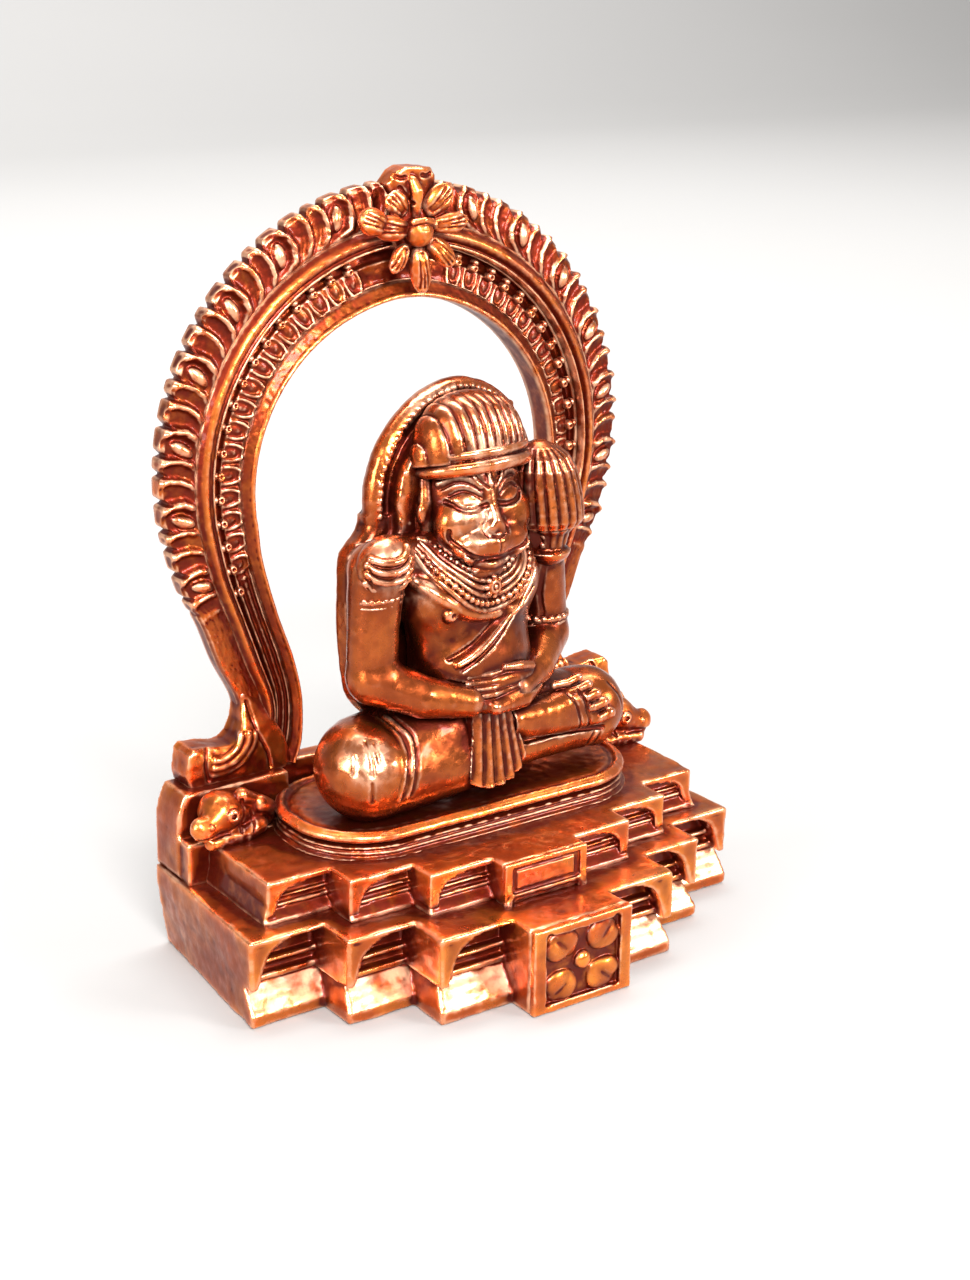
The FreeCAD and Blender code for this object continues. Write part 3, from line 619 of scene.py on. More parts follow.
def rear_blocks(x, y, z):
    """The two raised blocks that the arch's feet stand on."""
    ends = np.abs(x) - 48.4 + 2.2 * np.clip((z - 24) / 7, 0, 1) ** 2
    return np.maximum(
        np.maximum(ends, 26.6 - np.abs(x)),
        np.maximum(np.maximum(20.6 - y, y - REAR), np.maximum(z - 30.4, 16 - z)),
    )


rear = Field((-49.8, 16.2, 14.6), (49.8, 29.7, 31.4), 0.4)
rear.put(rear_slab)
rear.put(rear_blocks, 1.0)
rear.add(brick((-27.4, 25.0, 16), (27.4, REAR, 30.4), 0.4), 0.3)
rear.weather(0.1, 1.7, 31).weather(0.22, 5.0, 32)
rear.trim(lambda x, y, z: y - REAR, 0.3)
piece("rear_block", "pedestal_metal", rear)

# rosette block: a raised frame round four petals and a bead
ros = Field((-10.8, -29.8, -0.4), (10.8, -26.9, 16.0), 0.17)
ros.add(brick((-10.0, -28.9, 0.15), (10.0, -27.5, 15.3), 0.25))
ros.cut(brick((-7.5, -30.0, 1.5), (7.7, -27.95, 13.9), 0.2), 0.25)
ROSE_X, ROSE_Z = 0.1, 7.8
for sx, sz in itertools.product((-1, 1), repeat=2):
    tip_x, tip_z = ROSE_X + sx * 4.1, ROSE_Z + sz * 3.6
    for dx, y, dz, radii, angle, blend in (
        (0.0, -28.0, 0.0, (3.1, 0.9, 2.6), 24, 0.1),
        (1.0, -28.1, -0.8, (2.6, 1.0, 1.9), 12, 0.3),
        (-1.1, -28.1, 0.6, (2.3, 1.0, 1.9), 48, 0.3),
    ):
        ros.add(egg((tip_x + sx * dx, y, tip_z + sz * dz), radii, rotation("Y", -sx * sz * angle)), blend)
    notch = [(ROSE_X + sx * 3.8, -29.35, ROSE_Z + sz * 3.2), (ROSE_X + sx * 6.9, -29.0, ROSE_Z + sz * 6.0)]
    ros.cut(tube(notch, [0.3, 0.6]), 0.4)
ros.cut(egg((ROSE_X, -29.0, ROSE_Z), (2.5, 1.0, 2.5)), 0.3)
ros.add(egg((ROSE_X, -28.2, ROSE_Z), (1.6, 1.15, 1.6)), 0.1)
piece("rosette_plaque", "pedestal_metal", ros, (0.12, 1.6, 41))

# framed panel of the upper course, with small flared feet
pan = Field((-9.2, -19.1, 15.0), (9.2, -16.9, 23.4), 0.17)
pan.add(brick((-8.4, -18.3, 15.5), (8.4, -17.3, 22.7), 0.2))
pan.cut(brick((-6.9, -19.4, 17.1), (7.0, -17.75, 21.8), 0.2), 0.25)
pan.add(brick((-5.9, -18.1, 17.9), (6.0, -17.4, 21.1), 0.3), 0.3)
pan.cut(brick((-6.6, -19.4, 15.0), (6.7, -17.9, 16.4), 0.1), 0.3)
for sx in (-1, 1):
    pan.add(tube([(sx * 7.7, -17.9, 15.6), (sx * 6.9, -17.9, 16.9)], [0.9, 0.5]), 0.3)
piece("framed_panel", "pedestal_metal", pan, (0.05, 0.9, 51))


# ------------------------------------------------------------------------------ oval plinth

PLINTH_Y = 9.5
PLINTH_HALF = (33.2, 14.7)
PLINTH_CORNER = 13.5


def oval(inset):
    """A long oval about the plinth's middle, with the inset as a function of z."""

    def f(x, y, z):
        qx = np.abs(x) - (PLINTH_HALF[0] - PLINTH_CORNER)
        qy = np.abs(y - PLINTH_Y) - (PLINTH_HALF[1] - PLINTH_CORNER)
        out = np.sqrt(np.maximum(qx, 0) ** 2 + np.maximum(qy, 0) ** 2) + np.minimum(np.maximum(qx, qy), 0)
        return out - PLINTH_CORNER + inset(z)

    return f


def base_inset(z):
    return table(
        z, (22.7, -0.5), (22.9, -0.5), (23.1, 0.1), (23.3, 0.35), (23.5, 0.1), (23.8, -0.1), (24.0, 0.25),
        (24.2, 0.55), (24.4, 0.3), (24.7, 0.15), (24.9, 0.6), (25.2, 1.3),
    )


def top_inset(z):
    return table(
        z, (25.0, 1.3), (25.3, 1.1), (25.6, 0.25), (25.9, -0.1), (26.4, -0.2), (26.9, 0.1), (27.2, 0.7)
    )


base = Field((-34.4, -6.4, 22.0), (34.4, 25.4, 25.8), 0.27)
base.f[:] = -FAR
base.trim(oval(base_inset))
base.trim(lambda x, y, z: np.maximum(z - 25.2, 22.6 - z), 0.1)
piece("plinth_base", "pedestal_metal", base, (0.06, 1.2, 61))

top = Field((-34.4, -6.4, 24.4), (34.4, 25.4, 28.0), 0.27)
top.f[:] = -FAR
top.trim(oval(top_inset))


def plinth_face(x, y, z):
    """The slightly dished top, with a raised line inside its edge."""
    d = oval(lambda z: 0)(x, y, z)
    rim = 0.38 * np.exp(-((d + 1.0) / 0.55) ** 2) - 0.3 * np.exp(-((d + 2.1) / 0.5) ** 2)
    return z - 27.0 - rim + 0.1 * smooth(-2, -14, d)


top.trim(plinth_face, 0.2)
top.trim(lambda x, y, z: 25.1 - z, 0.1)
piece("plinth_top", "pedestal_metal", top, (0.07, 1.2, 62), (0.1, 4.0, 63))


# ----------------------------------------------------------------- creatures, one each corner


def side_block(side, near, far, step):
    """A block on one side of the middle, given by its corners on the positive side."""
    low, high = sorted((side * near[0], side * far[0]))
    return Field((low, *near[1:]), (high, *far[1:]), step)


for side, name in ((-1, "corner_creature_left"), (1, "corner_creature_right")):
    c = side_block(side, (30, 11.8, 21.4), (49.4, 22.4, 32.6), 0.2)
    c.build((
        ([(33.4, 19.0, 25.2), (38.2, 18.4, 27.2), (42.0, 17.8, 27.6)], [2.7, 3.4, 3.6], 0),
        ([(41.8, 16.2, 28.0)], (3.2, 2.8, 3.1), 1.0),
        ([(42.4, 15.8, 27.6), (46.4, 15.0, 26.0)], [2.4, 1.9], 1.0),
        ([(46.8, 15.2, 26.6)], (1.8, 1.6, 1.8), 0.6),
        ([(40.4, 15.0, 23.8), (45.2, 14.2, 23.7)], [1.7, 1.3], 0.7),
        ([(35.8, 16.0, 24.4), (38.6, 14.8, 23.6)], [1.9, 1.3], 0.6),
        ([(38.6, 15.8, 30.4), (36.6, 16.4, 29.0)], [1.3, 1.1], 0.5),
        ([(35.2, 16.2, 28.0), (33.0, 17.0, 26.4)], [1.6, 1.5], 0.4),
    ), side)
    c.groove([(side * 42.2, 25.1), (side * 44.4, 25.1), (side * 47.6, 24.8)], 0.4, 0.1)
    c.groove([(side * 39.2, 30.0), (side * 38.9, 27.2), (side * 39.8, 24.8)], 0.4, 0.1)
    c.groove([(side * 37.3, 27.6), (side * 37.0, 25.8), (side * 37.4, 24.2)], 0.3, 0.1)
    eye_x, eye_z = side * 41.6, 28.2
    eye_y = c.skin(eye_x, eye_z)
    c.add(egg((eye_x, eye_y, eye_z), (1.2, 0.6, 1.2)), 0.2)
    c.cut(egg((eye_x, eye_y - 0.4, eye_z), (0.5, 0.7, 0.5)), 0.15)
    c.stud(side * 45.6, 27.0, 0.45)
    c.trim(lambda x, y, z: np.maximum(22.6 - z, y - 21.2), 0.2)
    piece(name, "pedestal_metal", c, (0.07, 0.9, 71 + side))


# ------------------------------------------------------------------------------- halo arch

# circles of the arch's inner and outer line: middle x and z, and radius; then the legs' points
INNER = (0.0, 79.3, 30.3)
OUTER = (0.0, 82.0, 46.2)
LEGS = (
    ((29.1, 67.5), (42.9, 64.5)),
    ((26.5, 58.0), (39.6, 57.0)),
    ((23.6, 49.5), (37.0, 50.0)),
    ((22.1, 42.0), (33.6, 43.0)),
    ((22.3, 34.5), (33.8, 38.5)),
    ((23.6, 30.4), (36.0, 30.4)),
)
# angles from the crown, in degrees, of the curled leaves and of the beads
LOBE_AT = tuple(17.7 + 15.9 * i for i in range(-1, 8))
BEAD_AT = tuple(18.4 + 6.4 * i for i in range(17))


def halo_lines():
    """Matching points on the inner and the outer line of one half, from the crown to the foot."""
    inner, outer = [], []
    for a in np.linspace(90, -10, 26):
        t = math.radians(a)
        peak = 0.6 * math.exp(-(((90 - a) / 14) ** 2))
        inner.append((INNER[2] * math.cos(t), INNER[1] + INNER[2] * math.sin(t) - 0.6 + peak * 0.6))
        outer.append((OUTER[2] * math.cos(t), OUTER[1] + OUTER[2] * math.sin(t)))
    for p, q in LEGS:
        inner.append(p)
        outer.append(q)
    return np.array(inner, float), np.array(outer, float)


def resample(line, key, n):
    t = np.linspace(0, key[-1], n)
    return np.stack([np.interp(t, key, line[:, k]) for k in range(line.shape[1])], 1)


def halo_grid(spacing):
    inner, outer = halo_lines()
    both_lines = curve(np.hstack([inner, outer]), 0.4)
    middle = (both_lines[:, :2] + both_lines[:, 2:]) / 2
    key = np.concatenate([[0], np.cumsum(np.linalg.norm(np.diff(middle, axis=0), axis=1))])
    n = int(key[-1] / spacing)
    return resample(both_lines, key, n)


GRID = halo_grid(0.26)

# ribs of a curled leaf as broken lines: along the arch, and out from the leaves' root
WRAP_RIB = [(-1.7, 8.6), (-2.7, 6.6), (-2.6, 4.4), (-1.5, 2.5), (0.6, 1.4), (2.6, 0.9)]
LATE_RIB = [(3.1, 8.6), (2.3, 6.6), (2.2, 4.6), (2.8, 2.9), (4.0, 1.6), (5.4, 0.9)]
LAST_RIB = [(6.5, 8.6), (5.7, 6.6), (5.6, 4.8), (6.1, 3.2), (7.1, 1.9), (8.4, 0.9)]
# where the arch's bands meet, and two bands' widths, as shares of the way from its inner line out
LIP_TO, FRAME_TO, RIDGE_TO = 0.15, 0.46, 0.66
RIDGE_SPAN, FLAME_SPAN = 0.20, 0.34
LEAF_ROOT = 38.6
LEAF_RADIUS = 46.4
LEAF_DIPS = ((-3.0, 0.085), (1.9, 0.075), (5.2, 0.07))


def off_curve(along, out, points):
    """Distance from the places (along, out) to a broken line."""
    best = np.full(along.shape, 99.0)
    for (ax, ay), (bx, by) in zip(points[:-1], points[1:]):
        dx, dy = bx - ax, by - ay
        t = np.clip(((along - ax) * dx + (out - ay) * dy) / (dx * dx + dy * dy), 0, 1)
        best = np.minimum(best, np.hypot(along - ax - t * dx, out - ay - t * dy))
    return best


def leaf_relief(phi, r):
    """Curled leaves: a bulb in the lap of a strong rib, then two narrower ribs swept the same way."""
    height = np.full(np.broadcast(phi, r).shape, -0.35)
    out = r - LEAF_ROOT
    for k, at in enumerate(LOBE_AT):
        along = (phi - at) * math.pi / 180 * r
        near = np.abs(along) < 14
        if not near.any():
            continue
        a, q = along[near], (out + 0 * along)[near]
        sway = 0.25 * math.sin(2.7 * k)
        rise = 1.35 * np.exp(-((off_curve(a, q, WRAP_RIB) / 0.72) ** 2))
        rise = np.maximum(rise, (1.1 + sway) * np.exp(-((off_curve(a, q, LATE_RIB) / 0.62) ** 2)))
        rise = np.maximum(rise, (1.0 - sway) * np.exp(-((off_curve(a, q, LAST_RIB) / 0.6) ** 2)))
        bulb = np.sqrt(((a - 0.3 + 0.35 * (q - 4.8)) / 1.25) ** 2 + ((q - 4.8) / 2.0) ** 2)
        rise = np.maximum(rise, 1.45 * np.sqrt(np.clip(1.0 - bulb**2, 0, 1)))
        height[near] = np.maximum(height[near], rise - 0.3)
    return height


def bead_relief(phi, r, centre_r):
    """Small cupped leaves that open outward, one under each bead."""
    height = np.zeros(np.broadcast(phi, r).shape)
    for at in BEAD_AT:
        along = (phi - at) * math.pi / 180 * r
        out = r - centre_r
        rho = np.sqrt((along / 1.7) ** 2 + (out / 2.6) ** 2)
        lip = 0.75 * np.exp(-(((rho - 0.84) / 0.22) ** 2)) * smooth(0.8, -0.5, out / 2.6)
        cup = 0.6 * smooth(0.9, 0.1, rho) * smooth(1.0, -0.6, out / 2.6)
        height = np.maximum(height, lip + cup)
    return height


def polar(x, z):
    """Angle from the crown, in degrees, and radius about the middle of the outer circle."""
    return np.degrees(np.arctan2(np.abs(x), z - OUTER[1])), np.hypot(x, z - OUTER[1])


def fade_down(phi):
    """1 round the arch, and 0 down the legs, where it has no leaves or beads."""
    return smooth(124, 112, phi)


def lip_height(tau, phi, r):
    return np.interp(
        tau,
        [0.0, 0.012, 0.03, 0.045, 0.055, 0.125, 0.14, 0.15],
        [4.9, 5.4, 5.5, 5.3, 5.0, 4.2, 3.9, 3.4],
    )


def frame_height(tau, phi, r):
    live = fade_down(phi)
    base_line = np.interp(
        tau,
        [0.14, 0.16, 0.19, 0.33, 0.36, 0.42, 0.445, 0.47],
        [3.6, 3.1, 2.9, 2.7, 2.0, 1.7, 1.9, 4.4],
    )
    inner_r = r - (tau - 0.265) * 16.2
    return base_line + live * bead_relief(phi, r, inner_r) + 0.25 * (1 - live) * np.sin(tau * 60)


def ridge_height(tau, phi, r):
    t = (tau - FRAME_TO) / RIDGE_SPAN
    return np.interp(
        t,
        [0.0, 0.05, 0.12, 0.17, 0.22, 0.28, 0.36, 0.5, 0.62, 0.75, 0.9, 1.0],
        [3.6, 5.0, 5.3, 5.2, 4.5, 4.5, 5.1, 5.5, 5.45, 5.1, 4.5, 4.1],
    )


def flame_height(tau, phi, r):
    live = fade_down(phi)
    t = np.clip((tau - RIDGE_TO) / FLAME_SPAN, 0, 1.1)
    base_line = 4.1 - 0.9 * t
    rounded = 3.6 + 1.0 * np.sqrt(np.clip(1 - t**2, 0, 1))
    return live * (base_line + leaf_relief(phi, r) * smooth(-0.05, 0.25, t)) + (1 - live) * (rounded - 0.6)


def outer_share(phi):
    """How far out the leaf tips reach, as a share of the band's width."""
    share = np.ones_like(phi) * 1.03
    for at in LOBE_AT:
        along = (phi - at) * math.pi / 180 * LEAF_RADIUS
        for dip, depth in LEAF_DIPS:
            share -= depth * np.exp(-(((along - dip) / 0.5) ** 2))
    return 1.0 + fade_down(phi) * (share - 1.0)


WALL_ROWS = 5
CAST_LUMPS, CAST_GRAIN, WALL_LUMPS = 0.06, 0.015, 0.04


def strip(node, tau0, tau1, height, across, seed, edge=None, chamfer=0.0):
    """One band of the arch: a relief on the front, plain walls, and a flat back.

    tau is the place between the arch's inner line (0) and its outer line (1)."""
    left = GRID[::-1] * (-1, 1, -1, 1)
    line = np.vstack([left[:-1], GRID])
    n = len(line)
    rng = np.random.default_rng(seed)
    share = np.linspace(0, 1, across)
    inner, outer = line[:, None, :2], line[:, None, 2:]
    middle = inner[:, 0] * 0.1 + outer[:, 0] * 0.9
    phi_line, _ = polar(middle[:, 0], middle[:, 1])
    far = np.full(n, tau1) if edge is None else tau1 * edge(phi_line)
    tau = tau0 + (far[:, None] - tau0) * share[None, :]
    flat = inner * (1 - tau[..., None]) + outer * tau[..., None]
    phi, r = polar(flat[..., 0], flat[..., 1])
    h = height(tau, phi, r)
    if chamfer:
        h = h - chamfer * smooth(0.9, 1.0, share)[None, :]
    h = h + CAST_LUMPS * lumps((n, across, 3), 0.3, 1.0, seed)[..., 1]
    h = h + rng.uniform(-CAST_GRAIN, CAST_GRAIN, h.shape)
    front = np.stack([flat[..., 0], REAR - h, flat[..., 1]], -1)
    walls = []
    for k in (0, across - 1):
        rows = []
        for d in range(1, WALL_ROWS + 1):
            row = front[:, k].copy()
            row[:, 1] += (REAR - row[:, 1]) * d / WALL_ROWS
            if d < WALL_ROWS:
                row[:, 1] += WALL_LUMPS * lumps((n, 3, 3), 0.3, 1.6, seed + d)[:, 1, 1]
            rows.append(row)
        walls.append(np.stack(rows, 1))
    back = walls[0][:, -1:] * (1 - share[None, :, None]) + walls[1][:, -1:] * share[None, :, None]
    verts, ids = [], []
    count = 0
    for block in (front, *walls, back[:, 1:-1]):
        verts.append(block.reshape(-1, 3))
        ids.append(count + np.arange(len(verts[-1])).reshape(block.shape[:2]))
        count += len(verts[-1])
    face, wall_in, wall_out, inside = ids
    flat_back = np.hstack([wall_in[:, -1:], inside, wall_out[:, -1:]])
    ring = np.hstack([face, wall_out, flat_back[:, ::-1][:, 1:], wall_in[:, ::-1][:, 1:]])
    a, b = ring, np.roll(ring, -1, axis=1)
    quads = [np.stack([a[:-1], b[:-1], b[1:], a[1:]], -1).reshape(-1, 4)[:, ::-1]]
    for row, flip in ((0, 1), (n - 1, -1)):
        cap = np.stack([face[row, :-1], flat_back[row, :-1], flat_back[row, 1:], face[row, 1:]], -1)
        quads.append(cap[:, ::flip])
    for shift in (0, 1 / 3, 2 / 3):
        space.relief((front[:-1] * (1 - shift) + front[1:] * shift).reshape(-1, 3))
    pieces.append((node, "arch_metal", np.vstack(verts), np.vstack(quads)))


strip("arch_inner_lip", 0.0, LIP_TO, lip_height, 18, 81)
strip("arch_frame", LIP_TO, FRAME_TO, frame_height, 32, 82)
strip("arch_ridge", FRAME_TO, RIDGE_TO, ridge_height, 18, 83)
strip("flame_border", RIDGE_TO, 1.0, flame_height, 38, 84, outer_share, 0.6)

# beads: small cupped knobs in the groove
bead = Field((-1.5, -1.7, -1.7), (1.5, 1.5, 1.7), 0.16)
bead.add(egg((0, 0, -0.35), (0.95, 1.05, 0.85)))
bead.add(egg((0, 0, 0.65), (0.72, 0.95, 0.6)), 0.2)
bead.cut(egg((0.15, -1.05, -0.35), (0.4, 0.45, 0.35)), 0.15)
bead.cut(egg((0, -1.1, 0.2), (1.4, 0.4, 0.16)), 0.1)
bead_verts, bead_quads = bead.mesh()
BEAD_SHARE = 0.375
groove_line = GRID[:, 2:] * 0.37 + GRID[:, :2] * 0.63
groove_phi, _ = polar(groove_line[:, 0], groove_line[:, 1])
all_verts, all_quads = [], []
for sx, at in itertools.product((-1, 1), BEAD_AT):
    k = int(np.argmin(np.abs(groove_phi - at)))
    p = GRID[k, :2] * (1 - BEAD_SHARE) + GRID[k, 2:] * BEAD_SHARE
    out = GRID[k, 2:] - GRID[k, :2]
    out = out / np.linalg.norm(out)
    axis_out = np.array((sx * out[0], 0, out[1]))
    axis_side = np.array((axis_out[2], 0, -axis_out[0]))
    basis = np.stack([axis_side, (0, 1, 0), axis_out], 0)
    v = bead_verts @ basis + (sx * p[0], REAR - 3.0, p[1])
    all_quads.append(bead_quads + len(bead_verts) * len(all_verts))
    all_verts.append(v)
    space.relief(v[v[:, 1] < REAR - 2.6])
pieces.append(("arch_beads", "arch_metal", np.vstack(all_verts), np.vstack(all_quads)))

# scroll feet: a plain block with a ribbed dish that sweeps up into the leg
FOOT = outline([
    (23.0, 29.9), (44.6, 29.9), (45.2, 32.5), (44.6, 36.2), (43.7, 37.0), (41.0, 36.7), (38.1, 36.2),
    (36.3, 36.3), (34.9, 37.4), (33.9, 39.7), (33.4, 42.5), (33.6, 44.5), (30.4, 45.5), (28.6, 41.0),
    (26.6, 37.0), (24.6, 33.0),
])
DISH_X, DISH_Z = 39.0, 38.6
for side, name in ((-1, "arch_scroll_left"), (1, "arch_scroll_right")):
    s = side_block(side, (22.4, 20.6, 29.0), (46.2, 29.6, 46.4), 0.24)
    s.put(lambda x, y, z: np.maximum(FOOT(side * x, z), y - REAR))
    s.trim(lambda x, y, z: 22.7 + 2.4 * smooth(36, 45, z) + 1.6 * smooth(27, 24, side * x) - y, 0.8)
    s.cut(egg((side * DISH_X, 20.6, DISH_Z), (5.6, 3.6, 5.2)), 0.5)
    for radius, thick in ((4.6, 0.62), (5.9, 0.7), (7.1, 0.55)):
        arc = []
        for a in np.linspace(-100, -8, 14):
            t = math.radians(a)
            arc.append((side * (DISH_X - radius * math.cos(t)), DISH_Z + radius * math.sin(t) * 0.95))
        s.ridge(arc, thick, -0.15, 0.25)
    s.groove([(side * 40.9, 36.4), (side * 41.6, 34.0), (side * 41.2, 31.2)], 0.4)
    s.groove([(side * 29.2, 31.0), (side * 29.8, 34.0), (side * 31.6, 38.0), (side * 32.4, 43)], 0.35)
    s.weather(0.08, 1.1, 91 + side).weather(0.1, 3.0, 95 + side)
    s.trim(lambda x, y, z: np.maximum(30.2 - z, y - REAR), 0.1)
    piece(name, "arch_metal", s)

# crown flower
BOSS = np.array((0.0, 21.9, 120.7))
pet = Field((-12.0, 18.2, 109.6), (11.4, 26.2, 128.8), 0.2)
PETALS = (
    # dx, dz, half length, half width, thickness, pointing angle (degrees from +X, towards +Z)
    (-5.2, 0.9, 3.6, 2.2, 1.5, 172),
    (-8.8, 2.2, 2.7, 2.3, 1.9, 158),
    (-3.6, -4.2, 2.7, 1.5, 1.2, 240),
    (0.6, -6.4, 4.0, 2.0, 1.4, 277),
    (4.6, -3.6, 3.7, 1.9, 1.4, 318),
    (6.4, 1.0, 3.8, 1.8, 1.3, 4),
    (-3.6, 4.6, 2.4, 2.2, 1.0, 132),
    (4.6, 4.8, 3.4, 2.4, 1.2, 40),
)
for dx, dz, length, width, thick, angle in PETALS:
    centre = BOSS + (dx, 0.4 if dz > 3 else -0.4, dz)
    pet.add(egg(centre, (length, thick, width), rotation("Y", -angle)), 0.25)
    away = np.array((math.cos(math.radians(angle)), math.sin(math.radians(angle))))
    across = np.array((-away[1], away[0]))
    for offset in (-0.55, 0.0, 0.55):
        start = centre[[0, 2]] - away * length * 0.7 + across * offset * 0.7
        end = centre[[0, 2]] + away * length * 0.75 + across * offset * 1.6
        pet.groove([start, (start + end) / 2, end], 0.3, 0.05)
pet.add(egg(BOSS + (0, 1.4, 0), (4.2, 1.4, 4.2)), 0.4)
pet.weather(0.07, 0.8, 101)
pet.trim(lambda x, y, z: y - 25.8)
piece("boss_petals", "arch_metal", pet)

bud = Field((-3.6, 17.6, 117.0), (3.6, 25.4, 124.4), 0.17)
bud.add(egg((0, 21.5, 120.7), (2.6, 2.9, 2.6)))
bud.cut(tube([(-2.2, 18.7, 121.9), (-0.8, 18.4, 121.4), (1.8, 18.6, 121.7)], 0.35), 0.2)
bud.add(tube([(-2.0, 19.6, 122.6), (0.0, 19.2, 122.9), (1.9, 19.6, 122.4)], 0.5), 0.3)
piece("boss_bud", "arch_metal", bud, (0.05, 0.8, 102))

KNOB = outline([
    (-1.2, 122.4), (1.2, 122.4), (2.2, 125.2), (4.9, 127.6), (4.9, 129.6), (3.8, 131.0), (1.2, 131.3),
    (-1.6, 131.4), (-3.2, 130.6), (-4.9, 128.6), (-4.0, 126.8), (-2.2, 125.2),
])
knob = Field((-5.8, 20.6, 121.6), (5.8, 27.4, 132.4), 0.18)
knob.put(lambda x, y, z: np.maximum(KNOB(x, z) + 0.1, np.maximum(22.2 - y, y - 26.8)))
knob.trim(lambda x, y, z: 22.4 + 0.9 * smooth(1.6, 4.6, np.abs(x)) - y, 0.6)
knob.add(tube([(-0.5, 22.2, 129.0), (0, 21.6, 127.2), (0, 22.0, 123.2)], [0.8, 1.1, 0.8]), 0.5)
for points, radius, lift in (
    ([(-3.6, 129.9), (-2.6, 129.5), (-1.8, 129.6)], 0.42, 0.0),
    ([(1.6, 129.8), (2.6, 129.6), (3.6, 129.9)], 0.42, 0.0),
    ([(-2.7, 127.9), (-1.6, 126.6), (-0.9, 125.4)], 0.4, 0.05),
    ([(0.9, 128.2), (1.0, 126.4), (0.7, 124.6)], 0.4, 0.05),
):
    knob.groove(points, radius, lift)
piece("crown_knob", "arch_metal", knob, (0.06, 0.9, 103))


# ---------------------------------------------------------------------------- seated figure
# Everything here is in the figure's own frame; piece() turns figure_metal pieces on the plinth.

SHOULDER_LINE = [
    (18.2, 79.4), (18.1, 75.6), (19.4, 73.4), (21.8, 71.0), (22.4, 66.0), (22.4, 58.0), (21.6, 48.5),
    (19.6, 44.0), (14.0, 40.0),
]
HOOD_LINE = (
    [(0.6, 97.9), (5.4, 97.0), (10.4, 94.4), (14.4, 90.2), (17.2, 84.8)]
    + SHOULDER_LINE
    + [(0, 38.0)]
    + [(-x, z) for x, z in SHOULDER_LINE[::-1]]
    + [(-17.2, 84.8), (-14.2, 90.2), (-9.8, 94.4), (-4.6, 97.0)]
)
HOOD = outline(curve(HOOD_LINE, 2.2, True))
hood = Field((-23.8, -2.0, 36.6), (23.8, 7.4, 99.6), 0.3)


def hood_form(x, y, z):
    """Shoulder slab below; above it a rounded rim, a groove and the flat cloth round the head."""
    d = HOOD(x, z)
    slab = both(both(d, 2.4 - 1.5 * smooth(0.2, -3.0, d) - y, 0.9), y - 6.0, 0.9)
    slab = np.maximum(slab, z - 77.0)
    rim = np.sqrt((d + 1.45) ** 2 + ((y - 3.0) * 0.75) ** 2) - 1.5
    cloth = both(d + 3.5, np.abs(y - 1.9) - 3.7, 0.9)
    web = both(d + 1.0, np.abs(y - 3.6) - 2.0, 0.5)
    upper = np.minimum(merge(web, cloth, 0.3), rim)
    return merge(slab, np.maximum(upper, 73.0 - z), 0.8)


hood.put(hood_form)
RIM_DOTS, CLOTH_DOTS = 44, 60
HEAD_Z = 80
reach = np.arange(6, 24, 0.05)
for k in range(RIM_DOTS):
    angle = math.radians(-10 + 200 * k / (RIM_DOTS - 1))
    ray_x, ray_z = math.cos(angle), math.sin(angle)
    radius = reach[np.argmax(HOOD(reach * ray_x, HEAD_Z + reach * ray_z) > -1.4)]
    if HEAD_Z + radius * ray_z > 76.5:
        hood.stud(radius * ray_x, HEAD_Z + radius * ray_z, 0.55, -0.25, 0.2)
rng = np.random.default_rng(5)
for _ in range(CLOTH_DOTS):
    hood.stud(rng.uniform(-14.5, 14.5), rng.uniform(76, 92), rng.uniform(0.3, 0.55), -0.15, 0.25)
piece("back_plate", "figure_metal", hood, (0.05, 1.0, 201), (0.12, 4.0, 202))

# torso; LEAN is the x midway between the shoulders
LEAN = -2.2
torso = Field((-22.6, -12.6, 38.6), (19.6, 4.4, 75.4), 0.27)
torso.build((
    ([(-1.2, -3.2, 63.0)], (14.4, 7.0, 10.6), 0),
    ([(-1.2, -3.4, 52.0)], (12.2, 7.3, 10.4), 4.0),
))
for sx in (-1, 1):
    torso.add(egg((-1.4 + sx * 6.0, -6.2, 64.0), (6.4, 4.3, 5.4)), 2.5)
    torso.add(tube([(-1.0 + sx * 6, -1.4, 71.0), (LEAN + sx * 17.4, -1.4, 70.2)], [4.4, 3.6]), 3.0)
torso.build((
    ([(-1, -2.5, 66), (-0.6, -3.0, 74)], [7, 6], 2.0),
    ([(-1.4, -7.6, 50.6)], (9.4, 4.0, 6.0), 3.0),
))
THREAD = [(7.4, 66.4), (4.4, 62.4), (0.8, 58.9), (-4.0, 55.7), (-9.4, 52.8)]
for aside in (-0.9, 0.9):
    torso.groove([(px + aside, pz - aside) for px, pz in THREAD], 0.42)
torso.ridge(THREAD, 0.5, 0.05)
CHEST_FOLD = [
    (-16.6, 69.6), (-13.6, 66.2), (-10.0, 63.0), (-6.2, 61.0), (-1.8, 60.2), (3.2, 60.8), (6.8, 63.0),
]
torso.ridge(CHEST_FOLD, 0.8, -0.25, 0.8)
torso.groove([(-10.4, 49.8), (-5.6, 48.6), (0.0, 48.8), (5.4, 50.0)], 0.35)
BREAST = (-10.6, 61.7)
torso.stud(*BREAST, 1.3, -0.3, 0.3)
y = torso.skin(*BREAST)
torso.cut(egg((BREAST[0], y - 0.2, BREAST[1]), (0.6, 0.8, 0.6)), 0.15)
piece("torso", "figure_metal", torso, (0.05, 1.2, 211), (0.1, 4.0, 212))

